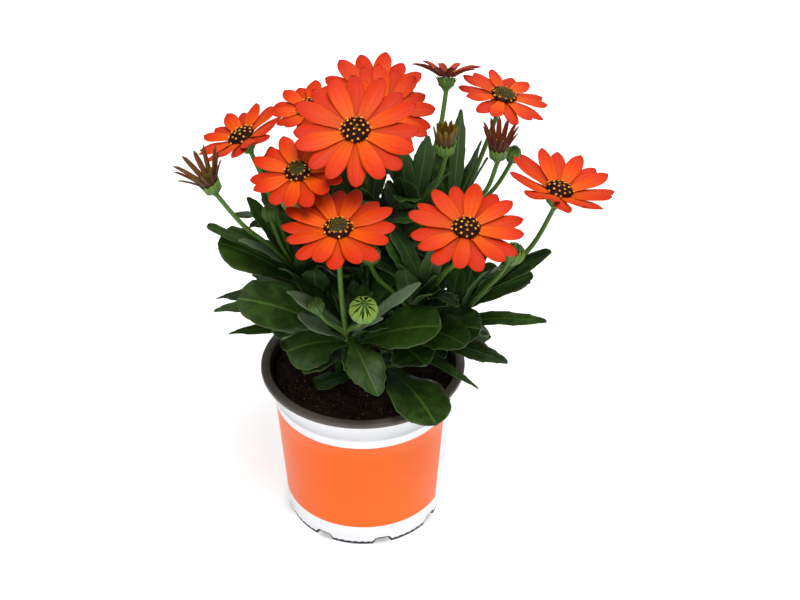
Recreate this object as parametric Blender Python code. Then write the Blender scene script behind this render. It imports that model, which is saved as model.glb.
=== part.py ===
"""An osteospermum in bloom, in its 12 cm nursery pot, as separate closed solids.

Sizes are in millimetres: +X to the viewer's right, +Y away from the viewer, +Z up, with the
origin at the centre of the pot's base. Meshes are written in metres.

The plant is a set of leafy stems. Each one is a single solid: its stem, its leaves, the stalks
that it sends up, the green cup under each flower, and its closed buds. A flower is two more
solids, a ring of petals in two layers and a domed disc.
"""

import math
import random
from collections import namedtuple

import bmesh
import bpy
from mathutils import Vector
from mathutils.bvhtree import BVHTree

METRES_PER_MM = 0.001
UP = Vector((0.0, 0.0, 1.0))

# Gap that two touching solids keep
GAP = 0.3

# Pot
POT_HEIGHT = 105.0
RIM_RADIUS = 60.0
RIM_INNER_RADIUS = 55.0
LIP_HEIGHT = 3.2
LIP_ROUNDING = 0.9
WALL_TOP_RADIUS = 54.0
WALL_FOOT_RADIUS = 47.3
WALL_THICKNESS = 1.4
FLOOR_THICKNESS = 1.6
FOOT_LINE_HEIGHT = 8.0
FOOT_RADIUS = 46.0
FOOT_ROUNDING = 1.4
LOBES = 8
LOBE_TURN = math.radians(-98.5)
LOBE_ANGLES = (-18.5, -14.5, 0.0, 14.5, 18.5)
CHANNEL_RISE = 4.5
CHANNEL_START = 25.0
CHANNEL_EDGE_RISE = 0.6
PAD_RADIUS = 19.0
DRAIN_RADIUS = 2.1
DRAIN_DISTANCE = 36.0
DRAINS = 4

# Soil
SOIL_HEIGHT = 98.5
SOIL_RELIEF = 1.6
SOIL_CROWN = 2.0
SOIL_RINGS = (0.86, 0.62, 0.34)
SOIL_STATIONS = 24
SOIL_SIDE_GAP = 0.8
STEM_DEPTH = 12.0
SOIL_COLLAR = 4.0
HOLE_SIDES = 6
HOLE_GAP = 0.6
HOLE_TOP = SOIL_HEIGHT + 20.0

# The soil's clods, as a sum of waves: share of the height, turn per mm along X and Y, and phase
CLODS = ((0.8, 0.41, 0.30, 1.3), (0.6, 0.83, -0.52, 2.1), (0.5, 0.29, 0.77, 0.6))

# Leaves keep above the pot's rim and the soil, and don't hang below this height beside the pot
RIM_MARGIN = 4.0
LEAF_LOWEST = 63.0

# Stems and stalks
STEM_RADIUS = 2.2
STEM_TOP_RADIUS = 1.6
STALK_RADIUS = 1.25
STEM_SIDES = 5
STEM_STEPS = 4
STALK_STEPS = 3

# A stem's curve: shares of its climb that its ends rise straight, and of its lean at the fork
STEM_FOOT_RISE = 0.4
STEM_FORK_RISE = 0.3
STEM_FORK_LEAN = 0.25

# A stalk's curve: straight length under the head, reach of its two ends and their lean, and how
# much of its taper each step takes
STALK_STRAIGHT = 2.0
STALK_FOOT_REACH = 0.35
STALK_HEAD_REACH = 0.3
STALK_LEAN = 0.5
STALK_TAPER = 0.4

# Green cup under a flower, as radius and depth shares of the petal hub's radius
CUP_PROFILE = ((0.36, -1.30), (0.84, -0.72), (0.95, 0.0))

# Closed bud, as radius and height shares of its own half width and length
BUD_PROFILE = ((0.70, 0.10), (1.0, 0.45), (0.74, 0.82), (0.30, 1.0))

# Petals
PETAL_THICKNESS = 0.75
PETAL_OUTLINE = ((0.30, 0.72), (0.74, 1.0), (1.0, 0.34))
SPIKE_OUTLINE = ((0.5, 1.0), (1.0, 0.25))
UPPER_LAYER_LIFT = 5.5
PETAL_LIFT_SPREAD = 1.6
PETAL_LENGTH_SPREAD = 0.05
PETAL_ROLL = 5.0

# Disc of florets: radius share and height share of the dome, from its foot up
DISC_PROFILE = ((0.80, 0.0), (1.0, 0.38), (0.66, 0.84))
DISC_SIDES = 10
DISC_RELIEF = 0.10
DISC_RISE = 0.62

# Leaves: station along the blade, then left and right half width as shares of the full half width
BROAD = ((0.24, 0.28, 0.28), (0.50, 1.0, 0.78), (0.69, 0.80, 1.0), (0.87, 0.66, 0.54),
         (1.0, 0.10, 0.10))
BROAD_PLAIN = ((0.28, 0.34, 0.34), (0.58, 1.0, 0.84), (0.84, 0.78, 0.90), (1.0, 0.20, 0.20))
NARROW_PLAIN = ((0.36, 0.78, 0.92), (0.70, 1.0, 0.80), (1.0, 0.14, 0.14))
NARROW = ((0.28, 0.60, 0.76), (0.54, 1.0, 0.78), (0.80, 0.62, 0.86), (1.0, 0.12, 0.12))
SPOON = ((0.28, 0.36, 0.36), (0.52, 0.92, 0.92), (0.75, 1.0, 1.0), (0.93, 0.62, 0.62),
         (1.0, 0.20, 0.20))
LEAF_ROOT_HALF_WIDTH = 0.8
LEAF_THICKNESS = 0.7
LEAF_CLEARANCE = 0.5
SPINE_STEP = 0.02
UPRIGHT_LEAN = 0.2

# Leaves along a stem's spiral: pairs hold the value at the spiral's foot and at the fork
GOLDEN_ANGLE = math.radians(137.508)
SPIRAL_END = 0.98
SPIRAL_RISE = (16.0, 62.0)
SPIRAL_LENGTH = (62.0, 42.0)
SPIRAL_ASPECT = (0.46, 0.30)
SPIRAL_BOW = (0.12, 0.07)
SPIRAL_LENGTH_SPREAD = (0.90, 1.08)
SPIRAL_BROAD_SHARE = 0.6
SPIRAL_ROLL = 18.0
PLACED_FOOT = 0.02

# Tries for a clear place: how far each further try turns, tilts, shortens or moves a leaf
LEAF_TRIES = 60
RETRY_TURN = 0.07
RETRY_RISE = 6.0
RETRY_RISE_GROWTH = 0.08
RETRY_SHORTENING = 0.007
PLACED_TRIES = 40
RETRY_SHIFT = 0.45
RETRY_SLIDE = 0.01

Bloom = namedtuple("Bloom", "name centre facing span petals petal_width lift fall ring disc")

BLOOMS = (
    Bloom("bloom_1", (-1, -34, 280), (0.0, -0.50, 0.87), 68, 16, 9.8, 8, 10, 6.6, 8.0),
    Bloom("bloom_2", (14, 8, 269), (0.30, -0.42, 0.86), 54, 16, 9.0, 12, 14, 6.4, 7.6),
    Bloom("bloom_3", (7, 46, 255), (0.0, -0.40, 0.91), 60, 14, 9.6, 12, 14, 6.4, 7.6),
    Bloom("bloom_4", (-27, 8, 269), (-0.18, -0.16, 0.96), 42, 14, 8.2, 14, 16, 6.0, 7.2),
    Bloom("bloom_5", (-62, -13, 264), (-0.40, 0.0, 0.91), 50, 16, 8.2, 14, 10, 6.4, 7.6),
    Bloom("bloom_6", (-31, -44, 261), (-0.12, -0.30, 0.94), 50, 14, 8.6, 10, 14, 6.0, 7.0),
    Bloom("bloom_7", (-10, -69, 242), (0.0, -0.20, 0.98), 60, 16, 9.0, 10, 14, 6.4, 7.8),
    Bloom("bloom_8", (56, -64, 239), (0.06, -0.25, 0.97), 62, 16, 9.2, 10, 14, 6.6, 7.8),
    Bloom("bloom_9", (106, -32, 242), (0.22, 0.0, 0.97), 62, 16, 9.4, 22, 10, 6.6, 7.8),
    Bloom("bloom_10", (78, 20, 270), (0.25, -0.06, 0.96), 50, 14, 8.0, 6, 16, 6.2, 7.4),
    Bloom("bloom_11", (47, 20, 283), (0.05, 0.40, 0.92), 40, 10, 4.6, 34, 26, 5.0, 4.6),
)

OPENING_BUDS = (
    Bloom("opening_1", (-77, -49, 259), (-0.38, -0.10, 0.92), 42, 12, 3.0, 62, 12, 5.6, 4.8),
    Bloom("opening_2", (74, -17, 260), (0.05, 0.0, 1.0), 38, 12, 3.0, 68, 4, 5.4, 4.6),
    Bloom("opening_3", (46, -10, 259), (0.0, -0.05, 1.0), 32, 12, 3.0, 82, 2, 5.8, 4.6),
)

ClosedBud = namedtuple("ClosedBud", "name centre facing width length")

CLOSED_BUDS = (
    ClosedBud("bud_1", (3, -85, 203), (0.05, -0.45, 0.89), 14.0, 13.0),
    ClosedBud("bud_2", (83, -40, 208), (0.35, -0.20, 0.92), 11.0, 12.0),
    ClosedBud("bud_3", (85, 22, 233), (0.20, 0.0, 0.98), 7.5, 9.5),
    ClosedBud("bud_4", (-36, -32, 236), (-0.20, -0.10, 0.97), 10.0, 12.0),
    ClosedBud("bud_5", (6, -40, 207), (0.10, -0.30, 0.95), 10.0, 11.0),
    ClosedBud("bud_6", (-23, -60, 188), (-0.20, -0.30, 0.93), 7.5, 9.5),
    ClosedBud("bud_7", (-49, -20, 221), (-0.20, 0.10, 0.97), 7.0, 9.0),
)

# A leafy stem: where it stands in the soil, where it forks, the head that its tip carries, the
# heads on side stalks with their start as a share of the way to the fork, how many leaves its
# spiral has, and the share of its foot that the spiral leaves bare.
Shoot = namedtuple("Shoot", "name root fork tip_head side_heads leaves bare")

SHOOTS = (
    Shoot("stem_front", (-3, -13), (-8, -44, 160), "bloom_7",
          (("bud_1", 0.93), ("bud_6", 0.84)), 3, 0.6),
    Shoot("stem_front_right", (10, -10), (38, -34, 178), "bloom_8", (("bud_5", 0.70),), 5, 0.35),
    Shoot("stem_left", (-14, -4), (-37, -13, 180), "bloom_5",
          (("opening_1", 0.94), ("bud_7", 0.84)), 4, 0.45),
    Shoot("stem_centre_left", (-6, 0), (-18, -12, 202), "bloom_6", (("bud_4", 0.9),), 7, 0.2),
    Shoot("stem_right", (17, -2), (62, -16, 158), "bloom_9", (("bud_2", 0.95),), 6, 0.1),
    Shoot("stem_back_right", (13, 8), (52, 12, 194), "bloom_10",
          (("opening_2", 0.95), ("bud_3", 0.85)), 7, 0.1),
    Shoot("stem_centre_right", (4, 9), (33, 10, 212), "bloom_11", (("opening_3", 0.90),), 7, 0.15),
    Shoot("stem_centre", (2, 1), (4, -6, 214), "bloom_1", (("bloom_2", 0.9),), 7, 0.2),
    Shoot("stem_back_left", (-7, 10), (-18, 22, 204), "bloom_4", (("bloom_3", 0.86),), 9, 0.1),
    Shoot("shoot_left", (-12, 14), (-50, 30, 186), None, (), 8, 0.1),
    Shoot("shoot_back", (0, 18), (-8, 56, 192), None, (), 8, 0.1),
    Shoot("shoot_right", (11, 18), (46, 44, 190), None, (), 8, 0.1),
)

# Leaves placed by hand: stem, share of the way to the fork, tip, bow, full width, form, and the
# roll about its own length in degrees
PlacedLeaf = namedtuple("PlacedLeaf", "name shoot along tip bow width form roll")

PLACED_LEAVES = (
    PlacedLeaf("rim_round", "stem_front_right", 0.06, (42, -73, 116), 7, 30, SPOON, 0),
    PlacedLeaf("soil_small", "stem_front", 0.02, (-27, -27, 106), 2, 14, SPOON, 0),
    PlacedLeaf("front_down", "stem_front", 0.92, (10, -76, 139), 3, 21, BROAD, 0),
    PlacedLeaf("front_down_low", "stem_front", 0.76, (-1, -63, 138), 3, 15, BROAD, -10),
    PlacedLeaf("front_grey_left", "stem_front", 1.0, (-38, -66, 201), 2, 9, NARROW, -45),
    PlacedLeaf("front_grey_short", "stem_front", 1.0, (-21, -62, 191), 1, 10, SPOON, -40),
    PlacedLeaf("front_grey_right", "stem_front", 1.0, (27, -62, 198), 2, 9, NARROW, 45),
    PlacedLeaf("front_grey_low", "stem_front", 0.97, (24, -62, 188), 1, 6, NARROW, 30),
    PlacedLeaf("big_left", "stem_front", 0.95, (-57, -60, 189), 4, 27, SPOON, -40),
    PlacedLeaf("low_left", "stem_front", 0.62, (-41, -47, 147), 4, 29, SPOON, -35),
    PlacedLeaf("right_large", "stem_front", 0.86, (47, -57, 180), 4, 26, SPOON, 38),
    PlacedLeaf("right_large_low", "stem_front_right", 0.42, (67, -38, 156), 4, 26, SPOON, 30),
    PlacedLeaf("right_middle", "stem_front_right", 0.26, (37, -62, 150), 3, 26, BROAD, 20),
    PlacedLeaf("right_toothed", "stem_right", 0.42, (83, -30, 126), 2, 14, BROAD, 10),
    PlacedLeaf("right_thin", "stem_front_right", 0.34, (66, -54, 128), 4, 7, NARROW, 0),
    PlacedLeaf("right_tip_1", "stem_right", 0.98, (104, -32, 203), 3, 12, SPOON, 20),
    PlacedLeaf("right_tip_2", "stem_right", 0.92, (100, -20, 182), 3, 13, SPOON, 20),
    PlacedLeaf("right_tip_3", "stem_right", 0.84, (96, -34, 178), 3, 11, NARROW, 20),
    PlacedLeaf("left_broad", "stem_left", 0.80, (-77, -30, 208), 4, 25, SPOON, -38),
    PlacedLeaf("left_upper", "stem_left", 0.93, (-82, -32, 220), 3, 9, SPOON, -15),
    PlacedLeaf("left_grey", "stem_left", 0.88, (-66, -48, 216), 3, 8, NARROW, -30),
    PlacedLeaf("left_pointed", "stem_left", 0.55, (-80, -44, 172), 4, 11, NARROW, -15),
    PlacedLeaf("left_low", "stem_left", 0.36, (-59, -26, 155), 3, 18, SPOON, -25),
    PlacedLeaf("left_narrow", "stem_left", 0.30, (-75, -25, 143), 4, 8, NARROW, -10),
    PlacedLeaf("left_back", "stem_left", 0.60, (-85, -4, 150), 4, 13, NARROW, 0),
    PlacedLeaf("top_1", "stem_centre_right", 0.90, (37, 2, 256), 1, 12, NARROW, 0),
    PlacedLeaf("top_2", "stem_centre_right", 0.80, (22, 2, 250), 1, 13, NARROW, 0),
    PlacedLeaf("top_3", "stem_back_right", 0.97, (55, 14, 266), 1, 9, NARROW, 0),
    PlacedLeaf("top_4", "stem_back_right", 0.90, (62, 4, 251), 1, 12, NARROW, 25),
    PlacedLeaf("top_5", "stem_back_right", 0.84, (62, 12, 238), 1, 10, NARROW, 0),
    PlacedLeaf("top_6", "stem_back_right", 1.0, (75, 8, 238), 2, 9, NARROW, 20),
    PlacedLeaf("top_left", "stem_back_left", 0.95, (-35, 8, 232), 2, 12, NARROW, 0),
    PlacedLeaf("left_top", "stem_left", 1.0, (-62, -6, 222), 2, 11, NARROW, -20),
)


def vector(values):
    return Vector([float(value) for value in values])


def bezier(p0, p1, p2, p3, share):
    rest = 1.0 - share
    return (p0 * rest ** 3 + p1 * (3.0 * share * rest ** 2)
            + p2 * (3.0 * share ** 2 * rest) + p3 * share ** 3)


def mix(pair, share):
    return pair[0] + (pair[1] - pair[0]) * share


def curve_points(p0, p1, p2, p3, steps):
    return [bezier(p0, p1, p2, p3, step / steps) for step in range(steps + 1)]


def frame_towards(facing):
    """Rotation that turns +Z to the given direction."""
    return vector(facing).normalized().to_track_quat("Z", "Y").to_matrix()


def moved(verts, centre, rotation):
    return [rotation @ vert + centre for vert in verts]


class Piece:
    """A closed triangle or polygon surface before it becomes an object."""

    def __init__(self, verts, faces):
        self.verts = [Vector(vert) for vert in verts]
        self.faces = faces
        self.tree = BVHTree.FromPolygons([tuple(vert) for vert in self.verts], faces)
        self.low = Vector([min(vert[axis] for vert in self.verts) for axis in range(3)])
        self.high = Vector([max(vert[axis] for vert in self.verts) for axis in range(3)])

    def touches(self, other):
        for axis in range(3):
            if self.low[axis] > other.high[axis] or other.low[axis] > self.high[axis]:
                return False
        return bool(self.tree.overlap(other.tree))


def band_faces(first, second, count):
    """Triangles between two rings of vertices that start at the given numbers."""
    faces = []
    for step in range(count):
        after = (step + 1) % count
        faces.append((first + step, first + after, second + after))
        faces.append((first + step, second + after, second + step))
    return faces


def loft(rings):
    """Closed surface through rings of equal length, with a fan on each end ring."""
    count = len(rings[0])
    verts = [vert for ring in rings for vert in ring]
    faces = []
    for number in range(len(rings) - 1):
        faces += band_faces(number * count, (number + 1) * count, count)
    for start in (0, (len(rings) - 1) * count):
        for step in range(1, count - 1):
            faces.append((start, start + step, start + step + 1))
    return verts, faces


def tube(points, radii, sides):
    tangents = []
    for number in range(len(points)):
        before = points[max(number - 1, 0)]
        after = points[min(number + 1, len(points) - 1)]
        tangents.append((after - before).normalized())
    normal = tangents[0].orthogonal().normalized()
    rings = []
    for point, tangent, radius in zip(points, tangents, radii):
        normal = (normal - tangent * normal.dot(tangent)).normalized()
        across = tangent.cross(normal)
        ring = []
        for side in range(sides):
            angle = math.tau * side / sides
            ring.append(point + (normal * math.cos(angle) + across * math.sin(angle)) * radius)
        rings.append(ring)
    return Piece(*loft(rings))


def make_object(name, verts, faces, material):
    mesh = bpy.data.meshes.new(name)
    mesh.from_pydata([tuple(Vector(vert) * METRES_PER_MM) for vert in verts], [], faces)
    work = bmesh.new()
    work.from_mesh(mesh)
    bmesh.ops.recalc_face_normals(work, faces=work.faces)
    work.to_mesh(mesh)
    work.free()
    mesh.materials.append(material)
    result = bpy.data.objects.new(name, mesh)
    bpy.context.scene.collection.objects.link(result)
    return result


def make_material(name, colour, roughness):
    material = bpy.data.materials.new(name)
    material.use_nodes = True
    shader = material.node_tree.nodes["Principled BSDF"]
    shader.inputs["Base Color"].default_value = (*colour, 1.0)
    shader.inputs["Roughness"].default_value = roughness
    shader.inputs["Metallic"].default_value = 0.0
    return material


def bake_modifiers(target):
    """Replace an object's mesh by what its modifiers make of it."""
    graph = bpy.context.evaluated_depsgraph_get()
    mesh = bpy.data.meshes.new_from_object(target.evaluated_get(graph))
    target.modifiers.clear()
    target.data = mesh


def fuse(name, pieces, material):
    """One solid from overlapping pieces, by a single union on a collection."""
    base = make_object(name, pieces[0].verts, pieces[0].faces, material)
    others = bpy.data.collections.new(name + "_pieces")
    bpy.context.scene.collection.children.link(others)
    for number, piece in enumerate(pieces[1:]):
        extra = make_object(f"{name}_piece_{number}", piece.verts, piece.faces, material)
        bpy.context.scene.collection.objects.unlink(extra)
        others.objects.link(extra)
    union = base.modifiers.new("union", "BOOLEAN")
    union.operation = "UNION"
    union.operand_type = "COLLECTION"
    union.collection = others
    union.solver = "MANIFOLD"
    bake_modifiers(base)
    for extra in list(others.objects):
        bpy.data.objects.remove(extra)
    bpy.data.collections.remove(others)
    return base


def cut(target, cutters):
    """Take the cutters out of a solid, by a single difference on a collection."""
    group = bpy.data.collections.new(target.name + "_cutters")
    bpy.context.scene.collection.children.link(group)
    for cutter in cutters:
        bpy.context.scene.collection.objects.unlink(cutter)
        group.objects.link(cutter)
    difference = target.modifiers.new("cut", "BOOLEAN")
    difference.operation = "DIFFERENCE"
    difference.operand_type = "COLLECTION"
    difference.collection = group
    difference.solver = "EXACT"
    bake_modifiers(target)
    for cutter in list(group.objects):
        bpy.data.objects.remove(cutter)
    bpy.data.collections.remove(group)


def wall_radius(height):
    """Outer radius of the tapering wall."""
    share = (height - FOOT_LINE_HEIGHT) / (POT_HEIGHT - LIP_HEIGHT - FOOT_LINE_HEIGHT)
    return WALL_FOOT_RADIUS + (WALL_TOP_RADIUS - WALL_FOOT_RADIUS) * share


def pot_angles():
    """Stations round the pot, with True where a drainage channel runs."""
    stations = []
    for lobe in range(LOBES):
        for step in LOBE_ANGLES:
            angle = LOBE_TURN + math.tau * lobe / LOBES + math.radians(step)
            stations.append((angle, abs(step) == max(LOBE_ANGLES)))
    return stations


def pot_ring(radius, height, channel_height=None):
    ring = []
    for angle, in_channel in pot_angles():
        level = channel_height if in_channel and channel_height is not None else height
        ring.append(Vector((radius * math.cos(angle), radius * math.sin(angle), level)))
    return ring


def closed_turn(rings, bottom, top):
    """Surface through rings, from a centre point below the first to one below the last."""
    verts, faces = loft(rings)
    count = len(rings[0])
    last = (len(rings) - 1) * count
    faces = faces[:2 * count * (len(rings) - 1)]
    verts += [bottom, top]
    for step in range(count):
        after = (step + 1) % count
        faces.append((len(verts) - 2, step, after))
        faces.append((len(verts) - 1, last + step, last + after))
    return verts, faces


def make_pot(material):
    lip_foot = POT_HEIGHT - LIP_HEIGHT
    inner = WALL_THICKNESS
    rings = [
        pot_ring(PAD_RADIUS, 0.0),
        pot_ring(CHANNEL_START, 0.0, CHANNEL_RISE),
        pot_ring(FOOT_RADIUS - FOOT_ROUNDING, 0.0, CHANNEL_RISE),
        pot_ring(FOOT_RADIUS, FOOT_ROUNDING, CHANNEL_RISE + CHANNEL_EDGE_RISE),
        pot_ring(WALL_FOOT_RADIUS, FOOT_LINE_HEIGHT),
        pot_ring(WALL_TOP_RADIUS, lip_foot),
        pot_ring(RIM_RADIUS - LIP_ROUNDING, lip_foot),
        pot_ring(RIM_RADIUS, lip_foot + 0.5 * LIP_HEIGHT),
        pot_ring(RIM_RADIUS - LIP_ROUNDING, POT_HEIGHT),
        pot_ring(RIM_INNER_RADIUS, POT_HEIGHT),
        pot_ring(WALL_TOP_RADIUS - inner, lip_foot),
        pot_ring(WALL_FOOT_RADIUS - inner, FOOT_LINE_HEIGHT),
        pot_ring(FOOT_RADIUS - FOOT_ROUNDING - inner, FLOOR_THICKNESS,
                 CHANNEL_RISE + FLOOR_THICKNESS),
        pot_ring(CHANNEL_START - FLOOR_THICKNESS, FLOOR_THICKNESS,
                 CHANNEL_RISE + FLOOR_THICKNESS),
        pot_ring(PAD_RADIUS - FLOOR_THICKNESS, FLOOR_THICKNESS),
    ]
    verts, faces = closed_turn(rings, Vector((0, 0, 0)), Vector((0, 0, FLOOR_THICKNESS)))
    pot = make_object("pot", verts, faces, material)
    cut(pot, [drain_cutter(number, material) for number in range(DRAINS)])
    return pot


def upright_cutter(name, x, y, low, high, radius, material):
    points = [Vector((x, y, low)), Vector((x, y, high))]
    shape = tube(points, (radius, radius), HOLE_SIDES)
    cutter = make_object(name, shape.verts, shape.faces, material)
    cutter.hide_render = True
    cutter.display_type = "WIRE"
    return cutter


def drain_cutter(number, material):
    half_lobe = math.pi / LOBES
    angle = LOBE_TURN + half_lobe + math.tau * number / DRAINS
    x = DRAIN_DISTANCE * math.cos(angle)
    y = DRAIN_DISTANCE * math.sin(angle)
    high = CHANNEL_RISE + 2.0 * FLOOR_THICKNESS
    low = 0.5 * CHANNEL_RISE
    return upright_cutter(f"drain_{number}", x, y, low, high, DRAIN_RADIUS, material)


def soil_level(x, y):
    """Height of the soil, with clods a centimetre or so across."""
    clods = sum(share * math.sin(turn_x * x + turn_y * y + phase)
                for share, turn_x, turn_y, phase in CLODS)
    crown = 1.0 - math.hypot(x, y) / RIM_RADIUS
    return SOIL_HEIGHT + 0.5 * SOIL_RELIEF * clods + SOIL_CROWN * crown


def turn_ring(radius, height=None):
    """Points round the axis, on the soil's relief where no height is given."""
    ring = []
    for number in range(SOIL_STATIONS):
        angle = math.tau * number / SOIL_STATIONS
        x = radius * math.cos(angle)
        y = radius * math.sin(angle)
        ring.append(Vector((x, y, soil_level(x, y) if height is None else height)))
    return ring


def make_soil(material):
    """Peat from the tops of the drainage channels to a little below the rim."""
    bed = CHANNEL_RISE + FLOOR_THICKNESS + GAP
    inner = WALL_THICKNESS + SOIL_SIDE_GAP
    bed_radius = FOOT_RADIUS - FOOT_ROUNDING - inner
    shoulder = FOOT_LINE_HEIGHT + GAP
    edge_height = SOIL_HEIGHT - SOIL_RELIEF
    edge_radius = wall_radius(edge_height) - inner
    rings = [
        turn_ring(bed_radius, bed),
        turn_ring(WALL_FOOT_RADIUS - inner, shoulder),
        turn_ring(edge_radius, edge_height),
    ]
    rings += [turn_ring(share * edge_radius) for share in SOIL_RINGS]
    centre_top = Vector((0, 0, soil_level(0, 0)))
    verts, faces = closed_turn(rings, Vector((0, 0, bed)), centre_top)
    soil = make_object("soil", verts, faces, material)
    holes = []
    for shoot in SHOOTS:
        x, y = shoot.root
        low = SOIL_HEIGHT - STEM_DEPTH - GAP
        holes.append(upright_cutter(shoot.name + "_hole", x, y, low, HOLE_TOP,
                                    STEM_RADIUS + HOLE_GAP, material))
    cut(soil, holes)
    return soil


def petal_stations(bloom, outline, lift, length, roll):
    """Middle, half width, normal and side of a petal, in the plane of its own radius."""
    stations = []
    reach = bloom.ring
    rise = 0.0
    before = 0.0
    for along, width in outline:
        slope = math.radians(lift - bloom.fall * 0.5 * (along + before))
        reach += math.cos(slope) * (along - before) * length
        rise += math.sin(slope) * (along - before) * length
        stations.append((reach, rise, 0.5 * bloom.petal_width * width, slope, roll * along))
        before = along
    return stations


def petal_ring(bloom, outline):
    """A thin hub whose every side face carries one petal, low and high in turn."""
    rng = random.Random(bloom.name)
    count = bloom.petals
    levels = (-PETAL_THICKNESS, 0.0, PETAL_THICKNESS)
    corner_radius = bloom.ring / math.cos(math.pi / count)
    verts = []
    for corner in range(count):
        angle = math.tau * (corner - 0.5) / count
        for level in levels:
            verts.append(Vector((corner_radius * math.cos(angle),
                                 corner_radius * math.sin(angle), level)))
    faces = []
    for number in range(count):
        near = 3 * number
        far = 3 * ((number + 1) % count)
        upper = number % 2
        free = 0 if upper else 1
        faces.append((near + free, far + free, far + free + 1))
        faces.append((near + free, far + free + 1, near + free + 1))
        lift = bloom.lift + (UPPER_LAYER_LIFT if upper else 0.0)
        lift += rng.uniform(-PETAL_LIFT_SPREAD, PETAL_LIFT_SPREAD)
        length = bloom.span / 2.0 - bloom.ring
        length *= 1.0 + rng.uniform(-PETAL_LENGTH_SPREAD, PETAL_LENGTH_SPREAD)
        roll = math.radians(rng.uniform(-PETAL_ROLL, PETAL_ROLL))
        angle = math.tau * number / count
        out = Vector((math.cos(angle), math.sin(angle), 0.0))
        across = Vector((-math.sin(angle), math.cos(angle), 0.0))
        middle = 0.5 * (levels[upper] + levels[upper + 1])
        loop = [near + upper, far + upper, far + upper + 1, near + upper + 1]
        for reach, rise, half, slope, turn in petal_stations(bloom, outline, lift, length, roll):
            centre = out * reach + UP * (middle + rise)
            normal = UP * math.cos(slope) - out * math.sin(slope)
            side = across * math.cos(turn) + normal * math.sin(turn)
            normal = normal * math.cos(turn) - across * math.sin(turn)
            thick = normal * (PETAL_THICKNESS / 2.0)
            start = len(verts)
            verts += [centre - side * half - thick, centre + side * half - thick,
                      centre + side * half + thick, centre - side * half + thick]
            after = [start, start + 1, start + 2, start + 3]
            faces += blade_faces(loop, after)
            loop = after
        faces.append((loop[0], loop[1], loop[2]))
        faces.append((loop[0], loop[2], loop[3]))
    hub = len(verts)
    verts += [Vector((0, 0, levels[0])), Vector((0, 0, levels[2]))]
    for corner in range(count):
        after = (corner + 1) % count
        faces.append((hub, 3 * corner, 3 * after))
        faces.append((hub + 1, 3 * corner + 2, 3 * after + 2))
    return Piece(moved(verts, vector(bloom.centre), frame_towards(bloom.facing)), faces)


def blade_faces(loop, after):
    """Triangles between two four-point sections, cut alike on the two broad faces."""
    low_a, low_b, high_b, high_a = loop
    low_c, low_d, high_d, high_c = after
    return [(low_a, low_b, low_d), (low_a, low_d, low_c),
            (high_a, high_b, high_d), (high_a, high_d, high_c),
            (low_a, low_c, high_c), (low_a, high_c, high_a),
            (low_b, low_d, high_d), (low_b, high_d, high_b)]


def disc_piece(bloom):
    height = bloom.disc * DISC_RISE
    foot = PETAL_THICKNESS + GAP
    profile = [(radius * bloom.disc, foot + rise * height) for radius, rise in DISC_PROFILE]
    profile[0] = (min(profile[0][0], bloom.ring - GAP), profile[0][1])
    rings = []
    for number, (radius, level) in enumerate(profile):
        ring = []
        for side in range(DISC_SIDES):
            angle = math.tau * (side + 0.5 * number) / DISC_SIDES
            bump = 1.0 - DISC_RELIEF if (side + number) % 2 and number else 1.0
            ring.append(Vector((radius * bump * math.cos(angle), radius * bump * math.sin(angle),
                                level)))
        rings.append(ring)
    verts, faces = closed_turn(rings, Vector((0, 0, foot)), Vector((0, 0, foot + height)))
    return Piece(moved(verts, vector(bloom.centre), frame_towards(bloom.facing)), faces)


def leaf_spine(base, tip, bow, share):
    middle = (base + tip) * 0.5 + UP * (2.0 * bow)
    rest = 1.0 - share
    return base * rest ** 2 + middle * (2.0 * share * rest) + tip * share ** 2


def leaf_across(base, tip, roll):
    """Direction across a blade: level, then rolled about the leaf's own length."""
    heading = (tip - base).normalized()
    level = UP.cross(heading)
    if level.length < UPRIGHT_LEAN:
        level = Vector((1.0, 0.0, 0.0))
    level.normalize()
    turn = math.radians(roll)
    return level * math.cos(turn) + heading.cross(level) * math.sin(turn)


def leaf_piece(base, tip, bow, width, form, roll, extra=0.0, rooted=True):
    """Blade along a bowed spine, with its outline from the form's table.

    Without its root it starts at the first station of the table.
    """
    across = leaf_across(base, tip, roll)
    half = 0.5 * width
    thick = 0.5 * (LEAF_THICKNESS + extra)
    verts = []
    faces = []
    loop = None
    root_share = LEAF_ROOT_HALF_WIDTH / half
    stations = ((0.0, root_share, root_share),) + form if rooted else form
    for along, left, right in stations:
        centre = leaf_spine(base, tip, bow, along)
        step = (leaf_spine(base, tip, bow, along + SPINE_STEP)
                - leaf_spine(base, tip, bow, along - SPINE_STEP))
        normal = step.cross(across).normalized()
        start = len(verts)
        left_edge = across * (left * half + extra)
        right_edge = across * (right * half + extra)
        verts += [centre - right_edge - normal * thick, centre + left_edge - normal * thick,
                  centre + left_edge + normal * thick, centre - right_edge + normal * thick]
        after = [start, start + 1, start + 2, start + 3]
        if loop is None:
            faces += [(0, 1, 2), (0, 2, 3)]
        else:
            faces += blade_faces(loop, after)
        loop = after
    faces += [(loop[0], loop[1], loop[2]), (loop[0], loop[2], loop[3])]
    return Piece(verts, faces)


def shoot_path(shoot):
    """Points from below the soil to the fork, upright at the root."""
    root = Vector((shoot.root[0], shoot.root[1], SOIL_HEIGHT + SOIL_COLLAR))
    fork = vector(shoot.fork)
    climb = fork.z - root.z
    lean = Vector((fork.x - root.x, fork.y - root.y, 0.0)) * STEM_FORK_LEAN
    foot_arm = UP * (STEM_FOOT_RISE * climb)
    fork_arm = UP * (STEM_FORK_RISE * climb) + lean
    return root, root + foot_arm, fork - fork_arm, fork


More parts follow.
